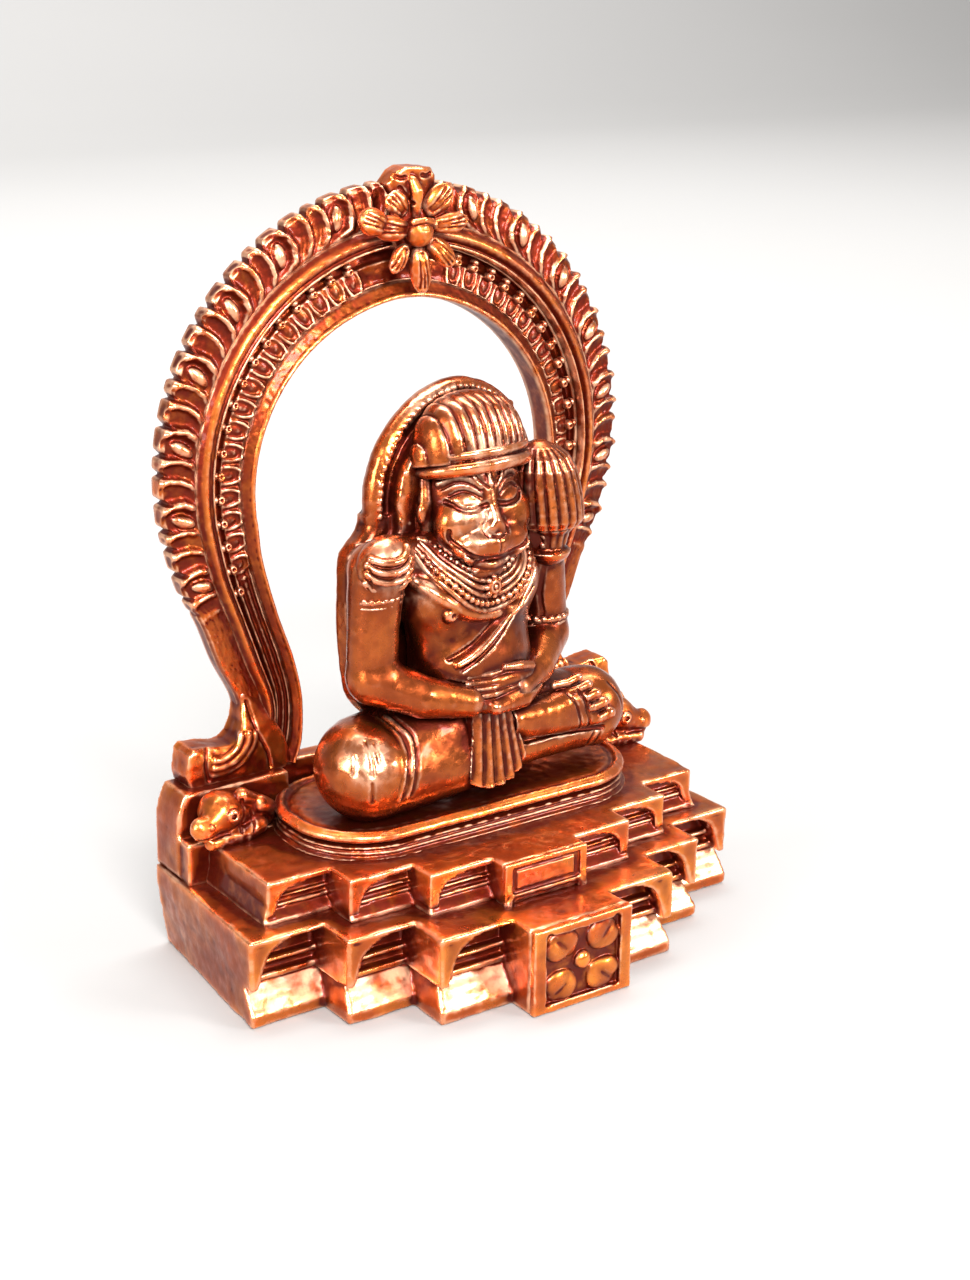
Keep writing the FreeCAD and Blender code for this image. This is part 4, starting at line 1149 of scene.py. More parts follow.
# right leg: fine marks on the knee, and two folds beside them
knee = Field((-31.6, -15.2, 25.8), (11.6, 10.4, 47.2), 0.29)
knee.build((
    ([(-8.0, 1.0, 36.5), (-21.9, -1.0, 35.4)], [8.6, 8.4], 0),
    ([(-22.6, -2.4, 35.2)], (8.0, 8.8, 8.6), 1.5),
    ([(-17.0, -4.6, 34.4), (0.4, -7.6, 33.6)], [7.0, 4.6], 2.0),
    ([(-9.5, -3.0, 39.0)], (11.0, 7.5, 6.8), 2.5),
))
knee.grooves((
    ([(-25.9, 42.2), (-26.5, 40.0), (-27.0, 37.4)], 0.3),
    ([(-27.2, 36.2), (-27.2, 34.4), (-27.0, 32.6)], 0.24),
    ([(-25.0, 42.0), (-25.3, 40.6), (-25.5, 39.4)], 0.24),
    ([(-28.2, 40.2), (-28.7, 38.8), (-29.0, 37.6)], 0.2),
), 0.05, 0.3)
for points, radius in (
    ([(-20.0, 44.0), (-19.2, 42.2), (-19.6, 39.7), (-20.6, 37.2), (-21.4, 34.6), (-21.8, 32.4)], 0.5),
    ([(-18.4, 44.0), (-17.4, 41.6), (-18.0, 39.2), (-18.9, 37.0), (-19.6, 34.6), (-20.0, 32.6)], 0.46),
):
    knee.ridge([(px - 0.7, pz) for px, pz in points], 0.34, -0.1, 0.5)
    knee.groove(points, radius * 0.7, 0.05, 0.3)
knee.weather(0.05, 1.2, 221).weather(0.14, 4.5, 222)
knee.trim(lambda x, y, z: 27.0 - z, 0.3)
piece("right_leg", "figure_metal", knee)

# left leg, under the right foot
leg = Field((3.0, -14.2, 25.8), (34.6, 10.4, 46.4), 0.27)
leg.build((
    ([(8.0, 1.0, 36.5), (25.4, -3.4, 36.0)], [8.0, 6.4], 0),
    ([(26.6, -5.0, 35.8)], (6.2, 6.6, 6.6), 2.0),
    ([(25.0, -6.8, 33.6), (6.0, -7.4, 33.8)], [4.7, 3.6], 1.0),
    ([(14.0, -4.0, 38.4)], (9.0, 6.0, 5.4), 2.0),
))
leg.cut(brick((4.0, -16, 26.0), (23.5, -6.4, 29.9), 0.8), 1.0)
leg.grooves((
    ([(27.4, 41.0), (29.0, 38.6), (29.8, 36.0), (29.4, 33.2)], 0.3),
    ([(22.0, 33.4), (21.4, 32.2), (21.2, 31.0)], 0.3),
    ([(23.6, 33.2), (23.2, 32.0), (23.0, 30.8)], 0.26),
), 0.05, 0.3)
leg.groove([(6.0, 35.6), (12.0, 35.4), (18.0, 34.8), (24.0, 33.8)], 0.55, 0.0)
leg.weather(0.05, 1.2, 231).weather(0.12, 4.5, 232)
leg.trim(lambda x, y, z: 27.0 - z, 0.3)
piece("left_leg", "figure_metal", leg)

# right foot, lying on the left leg, with five toes
foot = Field((2.6, -16.2, 32.8), (27.4, -5.0, 46.0), 0.22)
foot.build((
    ([(4.0, -9.4, 39.6), (12.0, -9.4, 39.2), (18.6, -9.4, 40.2)], [3.0, 3.3, 3.0], 0),
    ([(6, -9.6, 38.2), (14.0, -10.2, 37.4), (21.0, -10.4, 36.8)], [2.4, 2.5, 2.2], 1.2),
))
TOES = (
    (23.4, -12.0, 36.4, 1.15), (21.9, -12.0, 38.8, 1.0), (20.2, -11.8, 40.9, 0.9), (18.7, -11.2, 42.6, 0.85),
    (17.2, -10.4, 44.0, 0.75),
)
for x, y, z, r in TOES:
    bones = [(x - 3.4, y + 1.2, z - 0.5), (x - 1.2, y, z - 0.1), (x + 0.9, y - 0.1, z + 0.3)]
    foot.add(tube(bones, [r, r * 0.92, r]), 0.2)
    foot.add(egg((x + 1.2, y - 0.3, z + 0.35), (r * 1.1, r * 0.95, r * 0.95)), 0.15)
foot.groove([(17.2, 42.6), (18.6, 40.2), (19.4, 37.6), (19.9, 35.0)], 0.32, 0.0)
foot.groove([(15.2, 42.2), (16.4, 40.0), (17.2, 37.6), (17.6, 35.2)], 0.26, 0.0)
piece("right_foot", "figure_metal", foot, (0.04, 1.0, 241))

for sx, name in ((-1, "right_arm"), (1, "left_arm")):
    low, high = sorted((LEAN + sx * 0.5, LEAN + sx * 25.6))
    arm = Field((low, -15.2, 42.0), (high, 5.0, 76.0), 0.28)
    arm.build((
        ([(17.6, -2.0, 69.4), (18.9, -2.4, 60.0), (19.4, -2.6, 52.0)], [4.9, 4.3, 4.2], 0),
        ([(19.2, -2.2, 51.4)], (4.2, 4.1, 4.5), 1.0),
        ([(19.2, -3.2, 51.0), (12.8, -7.6, 47.8), (5.6, -11.0, 46.2)], [4.2, 3.6, 2.7], 1.2),
    ), sx, LEAN)
    arm.groove([(LEAN + sx * px, pz) for px, pz in ((16.0, 66.0), (15.8, 60.0), (16.4, 55.0))], 0.3, 0.1, 0.5)
    piece(name, "figure_metal", arm, (0.05, 1.2, 251 + sx), (0.12, 4.5, 254 + sx))

# both hands in the lap, under four finger ridges
hand = Field((-10.6, -16.6, 41.6), (11.4, -6.6, 53.0), 0.2)
hand.add(egg((0.4, -11.0, 45.4), (8.4, 3.0, 2.4), rotation("Y", -2)))
hand.add(egg((0.2, -10.6, 48.6), (7.4, 2.5, 2.0), rotation("Y", 2)), 0.3)
FINGERS = 4
for k in range(FINGERS):
    z = 47.1 + 1.04 * k
    root = (1.6 + 0.4 * k, -12.6 + 0.3 * k, z + 0.2)
    finger_tip = (-8.4 + 0.3 * k, -11.9 + 0.45 * k, z + 0.1)
    hand.add(tube([root, (-3.6, -12.9 + 0.4 * k, z), finger_tip], [0.62, 0.64, 0.52]), 0.15)
hand.build((
    ([(8.6, -10.0, 45.4), (3.4, -12.4, 44.6), (-3.6, -13.3, 44.8)], [1.3, 1.6, 1.3], 0.5),
    ([(6.0, -11.2, 49.6), (3.0, -12.2, 50.6), (-0.4, -12.0, 50.9)], [1.0, 0.85, 0.65], 0.3),
))
hand.groove([(8.0, 46.6), (4.4, 46.2), (2.0, 46.6)], 0.3)
piece("hands", "figure_metal", hand, (0.04, 1.0, 261))

sash = Field((-10.0, -16.4, 28.0), (7.8, -7.6, 45.6), 0.2)
FAN = outline([
    (-6.5, 45.0), (1.9, 45.0), (2.3, 41.6), (4.6, 34.6), (4.6, 33.4), (3.2, 32.0), (0.6, 30.9),
    (-2.4, 30.4), (-5.4, 30.6), (-7.9, 31.6), (-8.1, 33.2), (-6.8, 40.0),
])


def sash_form(x, y, z):
    t = np.clip((45.0 - z) / 15.0, 0, 1)
    middle = -2.3 + 0.5 * t
    half = 4.1 + 2.2 * t**1.3
    u = (x - middle) / half
    ripple = 0.75 * np.abs(np.sin(math.pi * 2.5 * (u + 1))) ** 0.7
    front = -11.2 - 1.6 * t + 0.6 * u**2 - ripple - 0.35 * smooth(0.9, 1.0, t)
    return np.maximum(np.maximum(FAN(x, z), front - y), y - (-9.0 - 1.0 * t))


sash.put(sash_form)
piece("pleated_sash", "figure_metal", sash, (0.04, 1.0, 271))

# --- head
head = Field((-12.2, -14.6, 63.8), (12.2, 4.0, 91.4), 0.2)
head.build((([(-0.4, -3.1, 79.2)], (9.4, 6.3, 10.8), 0), ([(-0.2, -5.6, 73.6)], (9.0, 4.9, 6.0), 2.0)))
for sx in (-1, 1):
    head.add(egg((-1.0 + sx * 5.0, -6.5, 76.0), (4.7, 3.7, 4.5)), 1.4)
    head.add(egg((-1.4 + sx * 3.6, -8.9, 72.6), (4.3, 2.8, 2.8)), 0.9)
    head.add(egg((-1.5 + sx * 4.3, -7.0, 80.0), (3.0, 1.5, 1.2)), 0.6)
    head.add(egg((-1.9 + sx * 1.0, -10.7, 75.4), (1.0, 0.9, 0.8)), 0.5)
head.build((
    ([(-1.6, -9.4, 72.6)], (3.8, 2.9, 2.8), 1.0),
    ([(-1.6, -8.6, 81.8), (-1.8, -9.5, 78.8), (-1.9, -10.6, 76.4)], [0.9, 1.0, 1.2], 1.2),
    ([(-2.4, -8.2, 67.8)], (4.6, 3.0, 2.1), 1.2),
))
MID_FACE = -1.8
SMILE = [
    (-10.0, 75.4), (-9.8, 74.2), (-8.4, 72.3), (-6.6, 71.1), (-4.4, 70.5), (-2.2, 70.3), (0.7, 70.6),
    (3.6, 71.3), (5.8, 72.8), (6.6, 74.6),
]
LOWER_LIP = [(MID_FACE + (px - MID_FACE) * 0.88, pz - 1.25) for px, pz in SMILE[2:-1]]
head.ridge(LOWER_LIP, 0.75, -0.05, 0.35)
head.groove(SMILE, 0.46, 0.0, 0.12)
# lines of the face: cut or raised, (distance from the middle, height), radius, lift and fillet
EYES_AND_BROWS = (
    (head.groove, ((7.2, 79.9), (6.0, 79.0), (4.2, 78.6), (2.4, 78.7), (1.2, 79.1)), 0.5, 0.0, 0.1),
    (head.groove, ((6.6, 80.8), (5.2, 81.5), (3.6, 81.3), (2.0, 80.3)), 0.3, 0.05, 0.12),
    (head.groove, ((7.2, 81.8), (5.6, 82.9), (3.6, 82.7), (1.8, 81.4)), 0.26, 0.05, 0.12),
    (head.ridge, ((7.2, 82.6), (5.4, 83.7), (3.4, 83.5), (1.6, 82.2)), 0.4, -0.15, 0.5),
    (head.groove, ((2.2, 76.2), (2.6, 75.0), (2.2, 74.2)), 0.28, 0.05, 0.15),
    (head.groove, ((2.9, 85.0), (2.1, 83.4), (0.5, 81.8)), 0.26, 0.05, 0.1),
    (head.ridge, ((3.4, 85.0), (2.6, 83.5)), 0.3, 0.0, 0.15),
)
MIDDLE_LINES = (
    (head.groove, ((1.4, 74.2), (0.0, 73.9), (-1.4, 74.2)), 0.3, 0.05, 0.1),
    (head.groove, ((0.0, 73.6), (0.0, 71.4)), 0.24, 0.05, 0.1),
    (head.ridge, ((0.0, 85.0), (0.0, 82.4)), 0.42, 0.0, 0.15),
)
for sx, lines in ((-1, EYES_AND_BROWS), (1, EYES_AND_BROWS), (1, MIDDLE_LINES)):
    for act, line, radius, lift, blend in lines:
        act([(MID_FACE + sx * px, pz) for px, pz in line], radius, lift, blend)
piece("head", "figure_metal", head, (0.04, 1.0, 281), (0.05, 3.0, 282))

# ribbed cap
cap = Field((-13.6, -11.2, 84.4), (12.2, 5.6, 98.4), 0.22)


def cap_ribs(x, y, z):
    """Dome with cords that rise from the band and fade out at the crown and the back."""
    turn = np.arctan2(x + 0.6, 14.0) * 22
    ribs = np.abs(np.sin(turn * 1.12 + 0.3 + 0.05 * (z - 86))) ** 0.55
    ribs = ribs * smooth(97.4, 94.6, z) * smooth(2.0, -1.0, y)
    return egg((-1.0, -2.4, 86.4), (10.8, 7.0, 10.3))[0](x, y, z) - 0.75 * ribs + 0.1


cap.put(cap_ribs)
cap.trim(lambda x, y, z: 85.4 - z - 0.2 * (y + 2.9), 0.3)
piece("cap", "figure_metal", cap, (0.05, 1.0, 291))

band = Field((-13.4, -13.6, 82.0), (13.4, 4.4, 90.6), 0.2)


def band_form(x, y, z):
    """Two rolled cords with a groove between, tipped up at the front."""
    height = z - (85.0 + 0.2 * (-2.9 - y))
    k = np.sqrt(((x + 0.5) / 9.7) ** 2 + ((y + 2.9) / 7.7) ** 2)
    d = (k - 1) * 8.0
    low = np.sqrt((d - 0.05) ** 2 + (height + 0.65) ** 2) - 1.2
    high = np.sqrt((d + 0.3) ** 2 + (height - 1.45) ** 2) - 0.85
    body = np.maximum(np.abs(d + 1.3) - 1.2, np.abs(height - 0.3) - 1.5)
    return np.minimum(merge(low, high, 0.15), body)


band.put(band_form)
band.trim(lambda x, y, z: y - 1.5, 0.3)
piece("headband", "figure_metal", band, (0.04, 1.2, 301))

# ears, and then their rings
ears = Field((-14.0, -6.6, 66.6), (14.0, 2.6, 84.4), 0.22)
for sx in (-1, 1):
    ears.build((
        ([(10.4, -0.9, 83.4), (10.8, -1.2, 76.0), (10.4, -0.9, 68.4)], [0.8, 1.1, 0.9], 0),
        ([(10.0, -2.2, 83.4), (10.4, -2.9, 79.4), (10.2, -2.9, 75.0)], [0.9, 1.2, 1.0], 0.4),
        ([(11.2, -2.9, 77.6)], (0.9, 1.0, 1.7), 0.3),
    ), sx)
piece("ears", "figure_metal", ears, (0.04, 1.0, 311))

rings = Field((-13.8, -7.4, 67.4), (13.8, -0.4, 75.4), 0.18)
for sx in (-1, 1):
    rings.build((
        ([(10.3, -3.6, 73.6), (11.5, -4.0, 73.2), (12.5, -3.6, 73.6)], [0.55, 0.8, 0.5], 0),
        ([(11.5, -4.2, 71.9)], (1.0, 0.9, 1.1), 0.2),
        ([(11.4, -3.9, 71.0), (11.3, -3.6, 68.6)], [0.6, 0.45], 0.2),
    ), sx)
piece("earrings", "figure_metal", rings, (0.03, 0.8, 321))


# necklaces follow the chest: their lines are laid on a plain chest and neck
chest = Field((-22.6, -15.0, 38.6), (19.6, 4.4, 75.4), 0.4)
chest.build((
    ([(-1.2, -3.2, 63.0)], (14.4, 7.0, 10.6), 0),
    ([(-7.4, -6.2, 64.0)], (6.4, 4.3, 5.4), 2.5),
    ([(4.6, -6.2, 64.0)], (6.4, 4.3, 5.4), 2.5),
    ([(-19.6, -1.4, 70.2), (15.2, -1.4, 70.2)], [3.8, 3.8], 3.0),
    ([(-1, -2.5, 66), (-0.8, -3.4, 74)], [7, 6.6], 2.0),
))


def strand(field, points, radius, lift, bead_radius, pitch):
    """A cord laid on the chest, with a bead about every pitch if the bead has a radius."""
    line = chest.drape(points, lift, 0.45)
    field.add(tube(line, radius), 0.15)
    if bead_radius:
        since = 0.0
        for a, b in zip(line[:-1], line[1:]):
            since += math.dist(a, b)
            if since >= pitch:
                field.add(egg(b, (bead_radius,) * 3), 0.1)
                since = 0.0


def swag(half, top, low):
    shape = ((-1, 1.0), (-0.72, 0.48), (-0.38, 0.12), (0, 0.0), (0.38, 0.12), (0.72, 0.48), (1, 1.0))
    return [(-2.0 + half * u, low + 1.2 + (top - low) * v) for u, v in shape]


def necklace(node, field, seed, strands):
    """Each strand is half width, top, low point, radius, lift, bead radius and pitch."""
    for half, top, low, *cord in strands:
        strand(field, swag(half, top, low), *cord)
    piece(node, "figure_metal", field, (0.03, 0.8, seed))


necklace("necklace_inner", Field((-15.4, -14.6, 59.6), (11.6, 3.0, 76.4), 0.18), 331, (
    (8.8, 72.6, 67.4, 0.5, 0.15, 0, 0),
    (9.4, 72.4, 66.2, 0.36, 0.25, 0.55, 1.0),
    (9.9, 72.2, 65.0, 0.45, 0.15, 0, 0),
    (10.5, 71.9, 63.8, 0.5, 0.15, 0, 0),
))
necklace("necklace_outer", Field((-17.2, -14.6, 58.0), (13.2, 3.0, 76.4), 0.18), 341, (
    (11.2, 71.6, 62.5, 0.42, 0.15, 0, 0),
    (11.9, 71.2, 61.2, 0.4, 0.2, 0.62, 1.15),
    (12.8, 70.8, 59.9, 0.5, 0.1, 0, 0),
))

PENDANT = (-2.4, 65.4)
pend = Field((PENDANT[0] - 3.6, -15.2, 61.8), (PENDANT[0] + 3.6, -7.0, 69.0), 0.16)
y = chest.skin(*PENDANT)
pend.add(egg((PENDANT[0], y - 0.6, PENDANT[1]), (1.6, 1.0, 1.6)))
pend.cut(egg((PENDANT[0], y - 1.7, PENDANT[1]), (0.85, 0.6, 0.85)), 0.15)
pend.add(egg((PENDANT[0], y - 1.0, PENDANT[1]), (0.55, 0.6, 0.55)), 0.1)
for k in range(8):
    t = k * math.pi / 4
    grain_at = (PENDANT[0] + 1.6 * math.cos(t), y - 0.7, PENDANT[1] + 1.6 * math.sin(t))
    pend.add(egg(grain_at, (0.5, 0.6, 0.5)), 0.1)
piece("pendant", "figure_metal", pend, (0.03, 0.8, 351))

thread = Field((-15.6, -14.6, 44.6), (13.4, 1.0, 71.0), 0.22)
for drop, cord in ((0.0, 0.36), (1.5, 0.28)):
    line = torso.drape([(px + drop * 0.5, pz - drop) for px, pz in THREAD], 0.12, 0.5)
    thread.add(tube(line, cord), 0.1)
piece("sacred_thread", "figure_metal", thread, (0.02, 0.8, 361))

# shoulder ornaments: a rounded pad with four curved ribs
pads = Field((-27.0, -10.4, 63.0), (23.0, 3.0, 77.2), 0.2)
PAD_ARC = [(-1.0, 0.9), (-0.75, -0.2), (-0.3, -0.8), (0.3, -0.8), (0.75, -0.2), (1.0, 0.9)]
for sx in (-1, 1):
    pad_x = LEAN + sx * 17.0
    pads.add(egg((pad_x, -3.4, 70.4), (5.6, 3.9, 5.0), rotation("Y", sx * 10)))
    for k in range(4):
        pad_top, span = 72.8 - 1.7 * k, 3.9 - 0.1 * k
        pads.ridge([(pad_x + sx * 1.5 + span * u, pad_top + v) for u, v in PAD_ARC], 0.55, 0.05, 0.25)
        pads.groove([(pad_x + sx * 1.5 + span * u, pad_top - 0.85 + v) for u, v in PAD_ARC], 0.28, 0.05)
piece("shoulder_ornaments", "figure_metal", pads, (0.05, 0.9, 371))

# armlets: two cords and a ring of beads round each arm
bands = Field((-27.0, -9.4, 51.4), (23.0, 4.4, 68.4), 0.24)
FULL_TURN = 2 * math.pi
for x0, y0, z0, r, cord, beads in (
    (LEAN - 18.3, -2.0, 65.4, 4.5, 0.4, 24),
    (LEAN + 19.0, -2.3, 54.6, 4.4, 0.55, 20),
):
    loop = []
    for t in np.linspace(0, FULL_TURN, 33):
        loop.append((x0 + r * math.cos(t), y0 + r * math.sin(t), z0 + 0.3 * math.cos(t)))
    bands.add(tube(loop, cord))
    bands.add(tube([(px, py, pz - 1.0) for px, py, pz in loop], cord * 0.7), 0.1)
    for k in range(beads):
        t = FULL_TURN * k / beads
        bead_at = (x0 + (r + 0.15) * math.cos(t), y0 + (r + 0.15) * math.sin(t), z0 + 0.1)
        bands.add(egg(bead_at, (cord, cord, cord * 1.2)), 0.1)
bands.trim(lambda x, y, z: np.where(x < -5, y + 3.6, -FAR), 0.2)
piece("armlets", "figure_metal", bands, (0.03, 0.9, 381))

# mace: a ribbed bell over a ribbed collar
AXIS = (15.4, -5.0)
bell = Field((7.2, -12.8, 70.8), (23.4, 2.8, 87.6), 0.2)


def bell_form(x, y, z):
    px, py = x - AXIS[0] + 0.9 + 0.13 * (z - 75.0), y - AXIS[1]
    r = np.sqrt(px**2 + py**2)
    radius = table(
        z, (72.4, 6.1), (73.2, 6.6), (75.0, 6.7), (77.0, 6.6), (79.6, 6.3), (82.2, 5.8), (84.2, 4.8),
        (85.8, 3.2), (86.6, 1.6), (86.9, 0.05),
    )
    lobes = np.abs(np.sin(np.arctan2(py, px) * 10 + 0.4))
    ribs = 0.62 * lobes**0.6 * smooth(86.6, 84.4, z) * smooth(71.0, 72.6, z)
    return np.maximum((r - radius - ribs + 0.4) * 0.75, np.maximum(72.0 - z, z - 87.0))


bell.put(bell_form)
piece("mace_head", "figure_metal", bell, (0.04, 1.0, 391))

neck_part = Field((10.2, -10.2, 63.6), (21.2, 1.2, 73.2), 0.2)


def collar_form(x, y, z):
    px, py = x - AXIS[0], y - AXIS[1]
    r = np.sqrt(px**2 + py**2)
    radius = table(
        z, (64.4, 1.6), (65.0, 2.6), (66.0, 3.7), (67.0, 4.2), (67.6, 3.4), (68.0, 3.1), (69.6, 3.4),
        (70.4, 3.6), (71.2, 4.3), (72.2, 4.4),
    )
    ribs = 0.3 * np.abs(np.sin(np.arctan2(py, px) * 7)) * smooth(67.6, 68.2, z)
    return np.maximum((r - radius - ribs) * 0.8, np.maximum(64.4 - z, z - 72.3))


neck_part.put(collar_form)
piece("mace_collar", "figure_metal", neck_part, (0.04, 0.9, 401))


# ------------------------------------------------------------------------------- materials


def nodes_of(name):
    mat = bpy.data.materials.new(name)
    mat.use_nodes = True
    tree = mat.node_tree
    tree.nodes.clear()
    return mat, tree


FINE, MEDIUM, BROAD = 1500, 420, 110
METALLIC = 0.95
COAT_ROUGHNESS = 0.1
BUMP_DEPTH = 0.0003


def copper_patina_and_painted_light(name, mid, warm, dark, bright, roughness, brightness, coat, seed):
    """Cast copper: dark in the hollows, partly patina and partly painted shade; pale on the edges, partly
    rubbed wear and partly painted highlights; mottled between.

    The per-vertex colour holds how much it stands out, with painted highlights added, and the metal near and
    around it, which sets the patina and painted shade in the hollows."""
    mat, tree = nodes_of(name)
    new, link = tree.nodes.new, tree.links.new
    out = new("ShaderNodeOutputMaterial")
    shader = new("ShaderNodeBsdfPrincipled")
    link(shader.outputs["BSDF"], out.inputs["Surface"])
    coord = new("ShaderNodeTexCoord")
    wear_and_painted_light = new("ShaderNodeAttribute")
    wear_and_painted_light.attribute_name = "wear_and_painted_light"
    split = new("ShaderNodeSeparateColor")
    link(wear_and_painted_light.outputs["Color"], split.inputs[0])

    def noise(scale, detail, offset):
        node = new("ShaderNodeTexNoise")
        node.inputs["Scale"].default_value = scale
        node.inputs["Detail"].default_value = detail
        shift = new("ShaderNodeMapping")
        shift.inputs["Location"].default_value = (offset, offset * 0.7, offset * 1.3)
        link(coord.outputs["Object"], shift.inputs["Vector"])
        link(shift.outputs["Vector"], node.inputs["Vector"])
        return node.outputs["Fac"]

    def ramp(value, a, b, lo=0.0, hi=1.0):
        node = new("ShaderNodeMapRange")
        node.interpolation_type = "SMOOTHSTEP"
        link(value, node.inputs["Value"])
        for key, number in (("From Min", a), ("From Max", b), ("To Min", lo), ("To Max", hi)):
            node.inputs[key].default_value = number
        return node.outputs["Result"]

    def calc(kind, a, b):
        node = new("ShaderNodeMath")
        node.operation = kind
        node.use_clamp = True
        for k, v in enumerate((a, b)):
            if isinstance(v, (int, float)):
                node.inputs[k].default_value = v
            else:
                link(v, node.inputs[k])
        return node.outputs[0]

    def mix(fac, a, b):
        node = new("ShaderNodeMix")
        node.data_type = "RGBA"
        link(fac, node.inputs[0])
        for k, v in ((6, a), (7, b)):
            if isinstance(v, tuple):
                node.inputs[k].default_value = (*v, 1)
            else:
                link(v, node.inputs[k])
        return node.outputs[2]

    # the first column carries rubbed edges and painted highlights; near and around give the hollow patina and
    # painted shade
    stands_out, near, around = split.outputs[0], split.outputs[1], split.outputs[2]
    fine = noise(FINE, 4, seed)
    medium = noise(MEDIUM, 5, seed + 3)
    broad = noise(BROAD, 3, seed + 7)
    body = mix(ramp(broad, 0.38, 0.64), mid, warm)
    body = mix(calc("MULTIPLY", ramp(medium, 0.5, 0.72), 0.4), body, tuple(c * 0.5 for c in mid))
    # dark in the hollows: patina, plus painted shade where metal is near and around
    nearby = ramp(near, 0.10, 0.40)
    hollow_patina_and_shade = calc("ADD", nearby, calc("MULTIPLY", ramp(around, 0.30, 0.62), 0.5))
    hollow_patina_and_shade = calc("ADD", hollow_patina_and_shade, ramp(stands_out, 0.46, 0.28))
    hollow_patina_and_shade = calc("MULTIPLY", hollow_patina_and_shade, ramp(medium, 0.2, 0.55, 0.78, 1.0))
    body = mix(hollow_patina_and_shade, body, dark)
    # pale edges: rubbed wear, plus the painted highlights on the chosen spots and slopes
    edge = ramp(calc("ADD", stands_out, calc("MULTIPLY", fine, 0.12)), 0.62, 0.92)
    edge = calc("MULTIPLY", edge, ramp(medium, 0.3, 0.62, 0.1, 1.0))
    body = mix(calc("MULTIPLY", edge, brightness), body, bright)
    link(body, shader.inputs["Base Color"])
    shader.inputs["Metallic"].default_value = METALLIC
    shader.inputs["Coat Weight"].default_value = coat
    shader.inputs["Coat Roughness"].default_value = COAT_ROUGHNESS
    rough = ramp(medium, 0.3, 0.7, roughness - 0.07, roughness + 0.09)
    rough = calc("ADD", rough, calc("MULTIPLY", hollow_patina_and_shade, 0.16))
    link(rough, shader.inputs["Roughness"])
    bump = new("ShaderNodeBump")
    bump.inputs["Strength"].default_value = 0.35
    bump.inputs["Distance"].default_value = BUMP_DEPTH
    height = calc("ADD", calc("MULTIPLY", fine, 0.35), calc("MULTIPLY", medium, 0.65))
    link(height, bump.inputs["Height"])
    link(bump.outputs["Normal"], shader.inputs["Normal"])
    return mat


# slot: name; mid, warm, dark and bright colours (dark: hollow patina and painted shade; bright: rubbed edges
# and painted highlights); roughness, brightness of the edges, coat, seed
COPPERS = {
    "pedestal_metal": (
        "pedestal_copper",
        (0.78, 0.158, 0.027), (1.0, 0.285, 0.042), (0.115, 0.010, 0.003), (1.0, 0.56, 0.34),
        0.25, 0.55, 0.25, 1.0,
    ),
    "arch_metal": (
        "arch_copper",
        (0.76, 0.142, 0.024), (1.0, 0.260, 0.038), (0.115, 0.010, 0.003), (1.0, 0.56, 0.34),
        0.24, 0.6, 0.12, 2.0,
    ),
    "figure_metal": (
        "figure_copper",
        (0.60, 0.124, 0.026), (0.84, 0.205, 0.038), (0.075, 0.008, 0.003), (1.0, 0.58, 0.38),
        0.17, 0.5, 0.12, 3.0,
    ),
    "stud_metal": (
        "stud_copper",
        (0.50, 0.12, 0.03), (0.62, 0.18, 0.05), (0.08, 0.012, 0.006), (0.9, 0.5, 0.3),
        0.4, 0.3, 0.1, 4.0,
    ),
}
MATERIALS = {slot: copper_patina_and_painted_light(*row) for slot, row in COPPERS.items()}
finish_pieces()
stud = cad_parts["locating_stud"]
stud.data.materials.clear()
stud.data.materials.append(MATERIALS["stud_metal"])


# --------------------------------------------------------------------- floor, light, camera

# the floor runs back flat, then bends up into a wall
REACH, BACK, BEND, RISE = 3.0, 1.2, 0.8, 2.6
BEND_STEPS = 12
rows = [(-REACH, 0.0), (BACK, 0.0)]
for k in range(1, BEND_STEPS + 1):
    t = k / BEND_STEPS * math.pi / 2
    rows.append((BACK + BEND * math.sin(t), BEND * (1 - math.cos(t))))
rows.append((BACK + BEND, RISE))
verts = [(x, y, z) for y, z in rows for x in (-REACH, REACH)]
faces = [(2 * k, 2 * k + 1, 2 * k + 3, 2 * k + 2) for k in range(len(rows) - 1)]
floor_mesh = bpy.data.meshes.new("floor")
floor_mesh.from_pydata(verts, [], faces)
floor_mesh.shade_smooth()
floor = bpy.data.objects.new("floor", floor_mesh)
bpy.context.scene.collection.objects.link(floor)
mat, tree = nodes_of("pale_floor")
out = tree.nodes.new("ShaderNodeOutputMaterial")
shader = tree.nodes.new("ShaderNodeBsdfPrincipled")
tree.links.new(shader.outputs["BSDF"], out.inputs["Surface"])
shader.inputs["Roughness"].default_value = 0.75
grain = tree.nodes.new("ShaderNodeTexNoise")
grain.inputs["Scale"].default_value = 9.0
tone = tree.nodes.new("ShaderNodeMix")
tone.data_type = "RGBA"
tree.links.new(grain.outputs["Fac"], tone.inputs[0])
tone.inputs[6].default_value = (0.24, 0.235, 0.23, 1)
tone.inputs[7].default_value = (0.265, 0.26, 0.255, 1)
tree.links.new(tone.outputs[2], shader.inputs["Base Color"])
floor.data.materials.append(mat)

bpy.context.scene.view_settings.view_transform = "Standard"
world = bpy.data.worlds.new("studio")
bpy.context.scene.world = world
world.use_nodes = True
background = world.node_tree.nodes["Background"]
background.inputs["Color"].default_value = (1.0, 0.985, 0.97, 1)
background.inputs["Strength"].default_value = 0.5

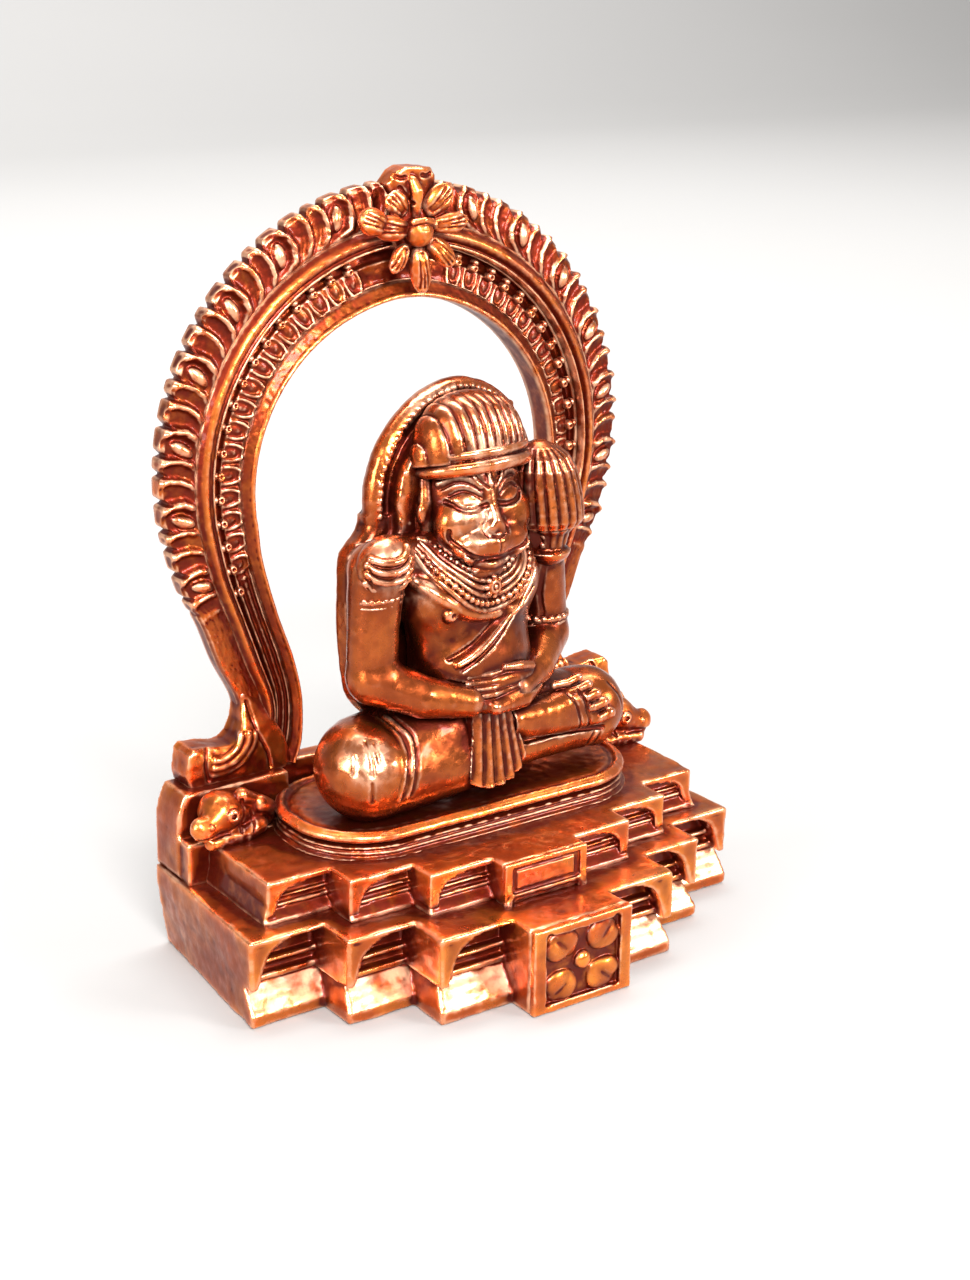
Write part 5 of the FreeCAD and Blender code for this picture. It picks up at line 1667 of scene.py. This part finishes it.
# soft lights: name, place, what it looks at, width and height, all in metres, and power in watts
MIDDLE = (0.0, 0.0, 0.06)
LIGHTS = (
    ("key", (-0.25, -0.58, 0.50), MIDDLE, (0.32, 0.26), 15),
    ("front", (0.60, -0.80, 0.44), MIDDLE, (0.30, 0.20), 11),
    ("side", (-0.80, -0.10, 0.30), MIDDLE, (0.3, 0.3), 7),
    ("top", (0.1, 0.15, 0.80), MIDDLE, (0.5, 0.4), 8),
    ("backdrop", (0.2, 0.3, 1.3), (0.6, 1.9, 0.7), (1.6, 0.8), 100),
)
for name, at, aim, size, power in LIGHTS:
    light = bpy.data.lights.new(name, "AREA")
    light.shape = "RECTANGLE"
    light.size, light.size_y = size
    light.energy = power
    lamp = bpy.data.objects.new(name, light)
    lamp.location = at
    lamp.rotation_euler = (Vector(aim) - Vector(at)).to_track_quat("-Z", "Y").to_euler()
    bpy.context.scene.collection.objects.link(lamp)

# the camera: its angles round the aim, and its lens and shift as shares of the picture's height
AZIMUTH, ELEVATION, ROLL = map(math.radians, (-35.207, 18.406, 0.754))
AIM = Vector((24.041, 33.93, 44.488)) * MM
DISTANCE = 400.465 * MM
SENSOR = 36
FOCAL_SHARE = 1.6634046875
SHIFT = (-0.0019375, -0.01378125)
level = math.cos(ELEVATION)
back = Vector((math.sin(AZIMUTH) * level, -math.cos(AZIMUTH) * level, math.sin(ELEVATION)))
right = (-back).cross(Vector((0, 0, 1))).normalized()
up = right.cross(-back)
right, up = (
    right * math.cos(ROLL) + up * math.sin(ROLL),
    up * math.cos(ROLL) - right * math.sin(ROLL),
)
camera_data = bpy.data.cameras.new("camera")
camera_data.sensor_width = SENSOR
camera_data.lens = FOCAL_SHARE * SENSOR
camera_data.shift_x, camera_data.shift_y = SHIFT
camera_data.clip_start = 0.02
camera = bpy.data.objects.new("camera", camera_data)
place = Matrix((right, up, back)).transposed().to_4x4()
place.translation = AIM + back * DISTANCE
camera.matrix_world = place
bpy.context.scene.collection.objects.link(camera)
bpy.context.scene.camera = camera
